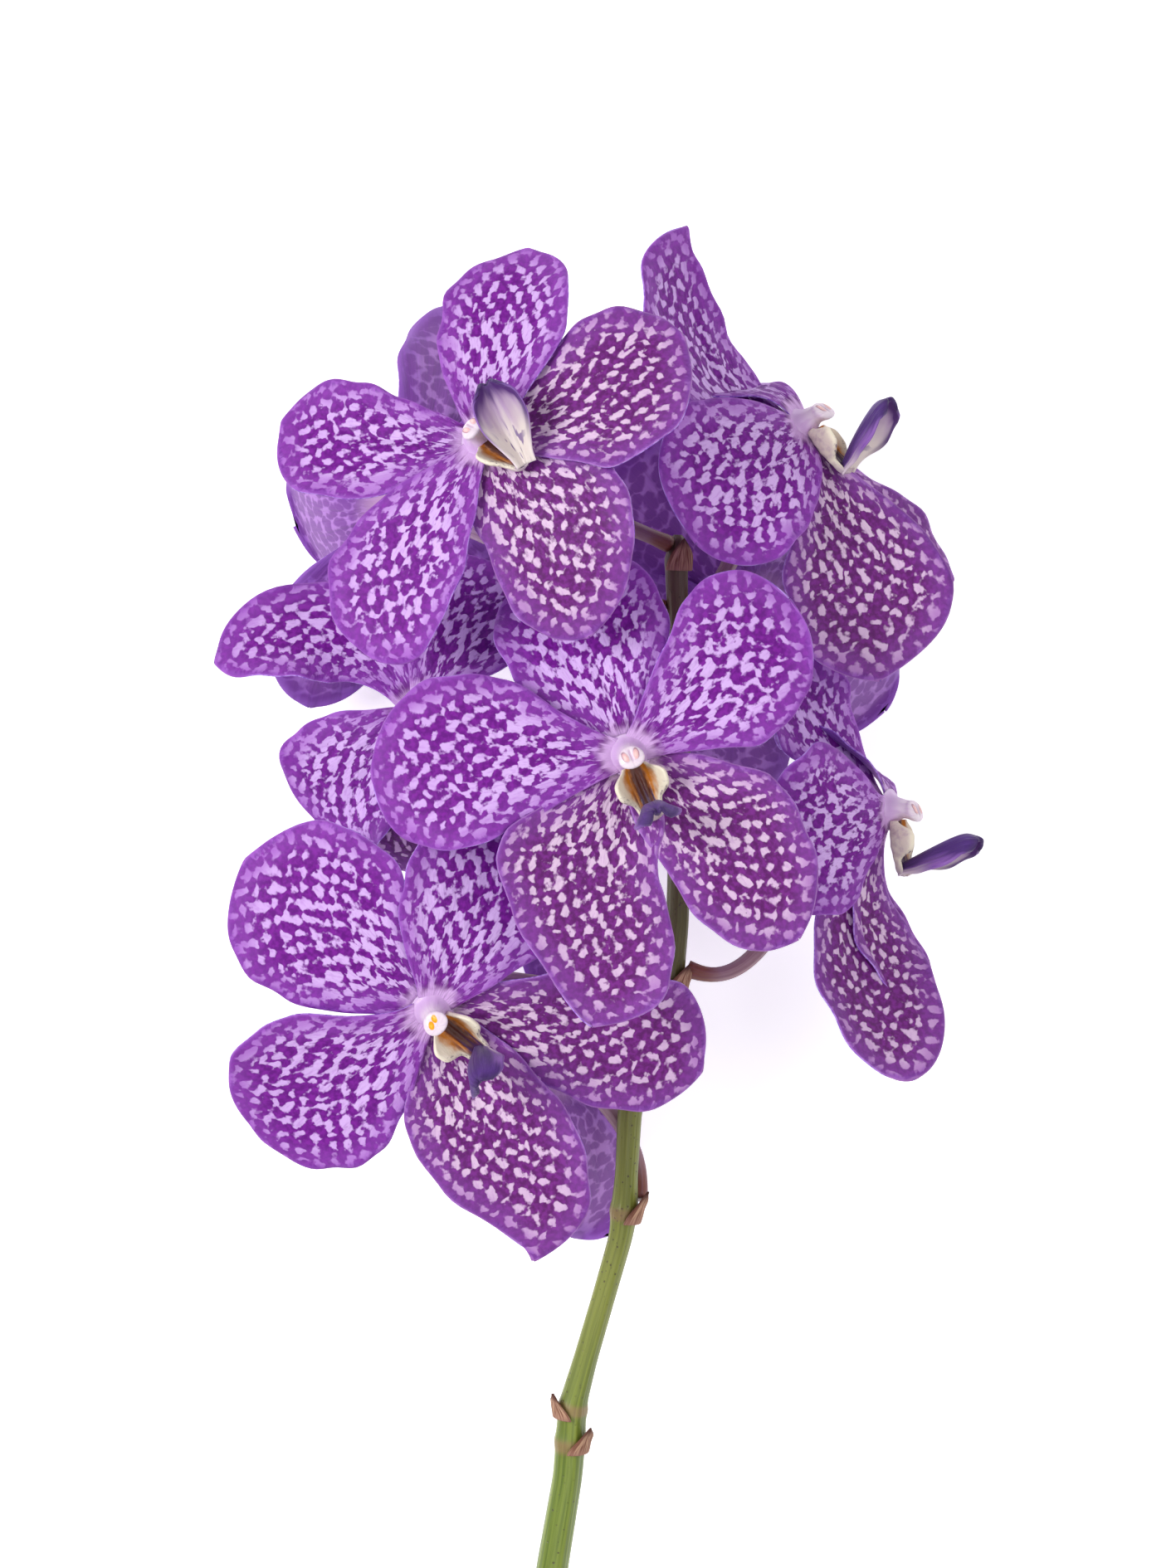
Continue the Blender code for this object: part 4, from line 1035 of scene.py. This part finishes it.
def stemPaint():
    paint = Paint("stemGreen", roughness=0.42, subsurface=0.06, radius=(0.6, 1.0, 0.3), scale=0.001,
                  coat=0.08)
    look = stemLook
    angle, along = paint.map("wrap")
    streaks = paint.noise(paint.wrapPoint(angle, 4.0, along * 0.03), detail=3.0, flat=False)
    patches = paint.noise(paint.wrapPoint(angle, 3.0, along * 0.5), 0.16, 3.0, flat=False)
    speckField = paint.cells(paint.wrapPoint(angle, 3.2, along), scale=0.62, flat=False)
    specks = paint.fade(speckField, 0.20, 0.10) * paint.fade(patches, 0.35, 0.6)
    joints = sum(paint.fade(abs(along - y), outer, inner) for y, outer, inner in jointRings)
    # from green at the cut end through olive to brown among the blooms
    colour = paint.cover(look["dark"],
                         (paint.fade(streaks, 0.35, 0.68), look["light"]),
                         (paint.fade(along + patches * 20, -150.0, -100.0) * 0.35, look["dry"]),
                         (paint.fade(along + patches * 30, -85.0, -25.0) * 0.75, look["brown"]),
                         (paint.fade(along + patches * 20, 10.0, 50.0) * 0.6, look["top"]),
                         (specks * 0.75, look["speck"]),
                         ((joints * 0.6).atMost(0.6), look["joint"]))
    return paint.feed(colour=colour, normal=paint.bump(streaks + specks * -0.3, 0.0005, 0.6))


def cutPaint():
    cut = Paint("stemCut", roughness=0.6, subsurface=0.1, radius=(0.6, 1.0, 0.3), scale=0.001)
    angle, out = cut.map("wrap")
    pores = cut.cells(cut.wrapPoint(angle, out * 9.0))
    colour = cut.cover(stemLook["pith"], (cut.fade(out, 0.78, 0.95), stemLook["skin"]),
                       (cut.fade(pores, 0.30, 0.15) * 0.6, stemLook["pore"]))
    return cut.feed(colour=colour, normal=cut.bump(pores, 0.0003, 0.5))


stalkForm = dict(
    footRadius=1.6, topRadius=2.4,        # mm
    footFlare=0.30, topFlare=0.25,        # mm more at the two ends
    behind=3.3, above=0.45,               # mm from the bloom's middle and from the stem's skin to its ends
    rib=0.045, sides=26, rows=44,         # rib as a share of the radius
)


def makeStalk(name, bloom, material):
    facing = unit(bloom["facing"])
    top = np.array(bloom["middle"]) - facing * stalkForm["behind"]
    place, along, radius = stemAt(bloom["stemAt"])
    away = np.array(bloom.get("leave", tuple(top - place)), float)
    away = unit(away - along * away.dot(along))
    foot = place + away * (radius + stalkForm["above"])
    reach = np.linalg.norm(top - foot)
    by = bloom.get("stalkBy", (foot + away * reach * 0.3 + along * reach * 0.1, top - facing * reach * 0.4))
    shares = np.linspace(0, 1, stalkForm["rows"])
    places, ways = bezierCurve((foot, *by, top), shares)
    radii = stalkForm["footRadius"] + (stalkForm["topRadius"] - stalkForm["footRadius"]) * shares**1.5
    radii = radii + stalkForm["footFlare"] * hump(shares, 0.06)
    radii = radii + stalkForm["topFlare"] * hump(1 - shares, 0.05)
    across = (0.3, 1.0, 0.1) if abs(ways[0][1]) < 0.8 else (1.0, 0.0, 0.2)
    ribs = stalkForm["rib"] * np.minimum(1.0, shares * 2)
    rings, angles = ringsAlong(places, radii, stalkForm["sides"], across,
                               lambda i, a: ribs[i] * np.cos(6 * a + 0.05 * i))
    wrap = pairUp(angles[None, :], (shares * reach)[:, None])
    tall = pairUp(shares[:, None], 0 * angles[None, :])
    shape = Shape("wrap", "tall")
    shape.addTube(rings, 0, wrap=wrap, tall=tall)
    return shape.build(name + "_stalkPiece", [material], [name + "_stalk"])


stalkLook = inks(foot=(152, 116, 126), top=(196, 164, 200), root=(128, 72, 54), streak=(118, 76, 96))


def stalkPaint():
    paint = Paint("stalkMauve", roughness=0.45, subsurface=0.12, radius=(1.0, 0.5, 0.5), scale=0.0012,
                  coat=0.05)
    angle, along = paint.map("wrap")
    share = paint.map("tall")[0]
    streaks = paint.noise(paint.wrapPoint(angle, 3.0, along * 0.06), detail=3.0, flat=False)
    patches = paint.noise(paint.wrapPoint(angle, 1.0, along * 0.25), detail=3.0, flat=False)
    colour = paint.cover(stalkLook["foot"], (paint.fade(share, 0.30, 0.95), stalkLook["top"]),
                         (paint.fade(along + patches * 4, 10.0, 4.5), stalkLook["root"]),
                         (paint.fade(streaks, 0.42, 0.7) * 0.4, stalkLook["streak"]))
    return paint.feed(colour=colour, normal=paint.bump(streaks, 0.0004, 0.6))


scaleForm = dict(
    height=6.5, thick=0.55,          # mm
    halfTurn=62,                     # degrees round the stem on each side
    off=0.55, lean=1.3,              # mm from the stem's skin at its foot, and how much more at its tip
    rows=18, strips=17,
)


def makeScale(name, material):
    y, sideOfStem, size = scaleTable[name]
    place, along, radius = stemAt(y)
    out = np.array(sideOfStem, float)
    out = unit(out - along * out.dot(along))
    roundIt = np.cross(along, out)
    share = np.linspace(0, 0.995, scaleForm["rows"])[:, None]
    part = np.linspace(-1, 1, scaleForm["strips"])[None, :]
    angle = math.radians(scaleForm["halfTurn"]) * (1 - share**1.3) * part
    ray = out * np.cos(angle)[:, :, None] + roundIt * np.sin(angle)[:, :, None]
    uneven = 0.18 * np.sin(9 * share + 3 * part) * share
    close = radius + scaleForm["off"] + scaleForm["lean"] * share * size + uneven
    far = close + scaleForm["thick"] * (1 - 0.5 * share)
    base = place + along * (scaleForm["height"] * size * (share - 0.3))[:, :, None]
    shape = Shape("face")
    shape.addSheet(base + ray * far[:, :, None], base + ray * close[:, :, None], face=pairUp(part, share))
    return shape.build(name + "Piece", [material], [name])


scaleLook = inks(brown=(122, 74, 54), pale=(186, 146, 118), tip=(92, 50, 40), foot=(160, 116, 100))


def scalePaint():
    paint = Paint("scaleBrown", roughness=0.75, subsurface=0.05, radius=(1.0, 0.5, 0.3), scale=0.001)
    x, along = paint.map("face")
    fibres = paint.noise(paint.point(x * 9.0, along * 1.2), detail=3.0)
    patches = paint.noise(paint.point(x * 1.6, along * 2.0), detail=3.0)
    colour = paint.cover(scaleLook["brown"], (paint.fade(fibres, 0.38, 0.66), scaleLook["pale"]),
                         (paint.fade(along + patches * 0.4, 0.75, 1.15), scaleLook["tip"]),
                         (paint.fade(along, 0.35, 0.0) * 0.6, scaleLook["foot"]))
    return paint.feed(colour=colour, normal=paint.bump(fibres, 0.0004, 0.8))


studio = dict(
    floorSize=6.0, floorDepth=0.0002,   # m; the floor lies a hair under the spray
    floorColour=(0.93, 0.93, 0.935), floorGlow=0.50, worldLight=0.38,
    # place, size in m and power in W of each soft light, all aimed at the blooms
    lights=[((-1.15, 0.25, 1.25), 0.9, 21.0), ((0.95, 0.25, 1.3), 1.2, 8.0), ((0.0, -0.95, 1.2), 1.2, 4.5)],
    aim=(0.0, 0.05, 0.06),
)

# the camera looks straight down from 0.925 m over the front blooms, at the photograph's field of view
shot = dict(place=(-0.0024, 0.043, 0.991), lens=100.1, film=36.0, farthest=20.0)


def makeStudio():
    mesh = bpy.data.meshes.new("tableTop")
    half, low = studio["floorSize"] / 2, -studio["floorDepth"]
    corners = [(-half, -half, low), (half, -half, low), (half, half, low), (-half, half, low)]
    mesh.from_pydata(corners, [], [(0, 1, 2, 3)])
    floor = bpy.data.objects.new("tableTop", mesh)
    bpy.context.scene.collection.objects.link(floor)
    paint = Paint("tableTopPale", roughness=0.8, specular=0.2)
    paint.shader.inputs["Base Color"].default_value = (*studio["floorColour"], 1)
    paint.shader.inputs["Emission Color"].default_value = (1, 1, 1, 1)
    paint.shader.inputs["Emission Strength"].default_value = studio["floorGlow"]
    mesh.materials.append(paint.material)
    for i, (place, size, power) in enumerate(studio["lights"]):
        lamp = bpy.data.lights.new(f"softLight{i}", "AREA")
        lamp.shape, lamp.size, lamp.energy = "DISK", size, power
        light = bpy.data.objects.new(f"softLight{i}", lamp)
        light.location = place
        light.rotation_euler = (Vector(studio["aim"]) - Vector(place)).to_track_quat("-Z", "Y").to_euler()
        bpy.context.scene.collection.objects.link(light)
    world = bpy.data.worlds.new("paleRoom")
    world.use_nodes = True
    background = world.node_tree.nodes["Background"]
    background.inputs["Color"].default_value = (1, 1, 1, 1)
    background.inputs["Strength"].default_value = studio["worldLight"]
    bpy.context.scene.world = world
    bpy.context.scene.view_settings.view_transform = "Standard"


def makeCamera():
    data = bpy.data.cameras.new("photoCamera")
    data.sensor_fit, data.sensor_height, data.lens = "VERTICAL", shot["film"], shot["lens"]
    data.clip_end = shot["farthest"]
    camera = bpy.data.objects.new("photoCamera", data)
    camera.location = shot["place"]
    bpy.context.scene.collection.objects.link(camera)
    bpy.context.scene.camera = camera


makeStudio()
makeCamera()
print("table, lights and camera ready")
makeTepals()
print("sepals and petals grown:", sum(len(b["tepals"]) for b in blooms.values()))
capped, spent = columnPaint("columnCapped", False), columnPaint("columnSpent", True)
lipMaterials = [lipBodyPaint(), tongueTopPaint(), tongueUnderPaint()]
for bloomName, bloomRow in blooms.items():
    makeColumn(bloomName, bloomRow, [spent if bloomName == "lower_left" else capped])
    makeLip(bloomName, bloomRow, lipMaterials)
print("columns and lips made")
makeStem(stemPaint(), cutPaint())
stalkMaterial = stalkPaint()
for bloomName, bloomRow in blooms.items():
    makeStalk(bloomName, bloomRow, stalkMaterial)
scaleMaterial = scalePaint()
for scaleName in scaleTable:
    makeScale(scaleName, scaleMaterial)
print("stem, stalks and scales made")
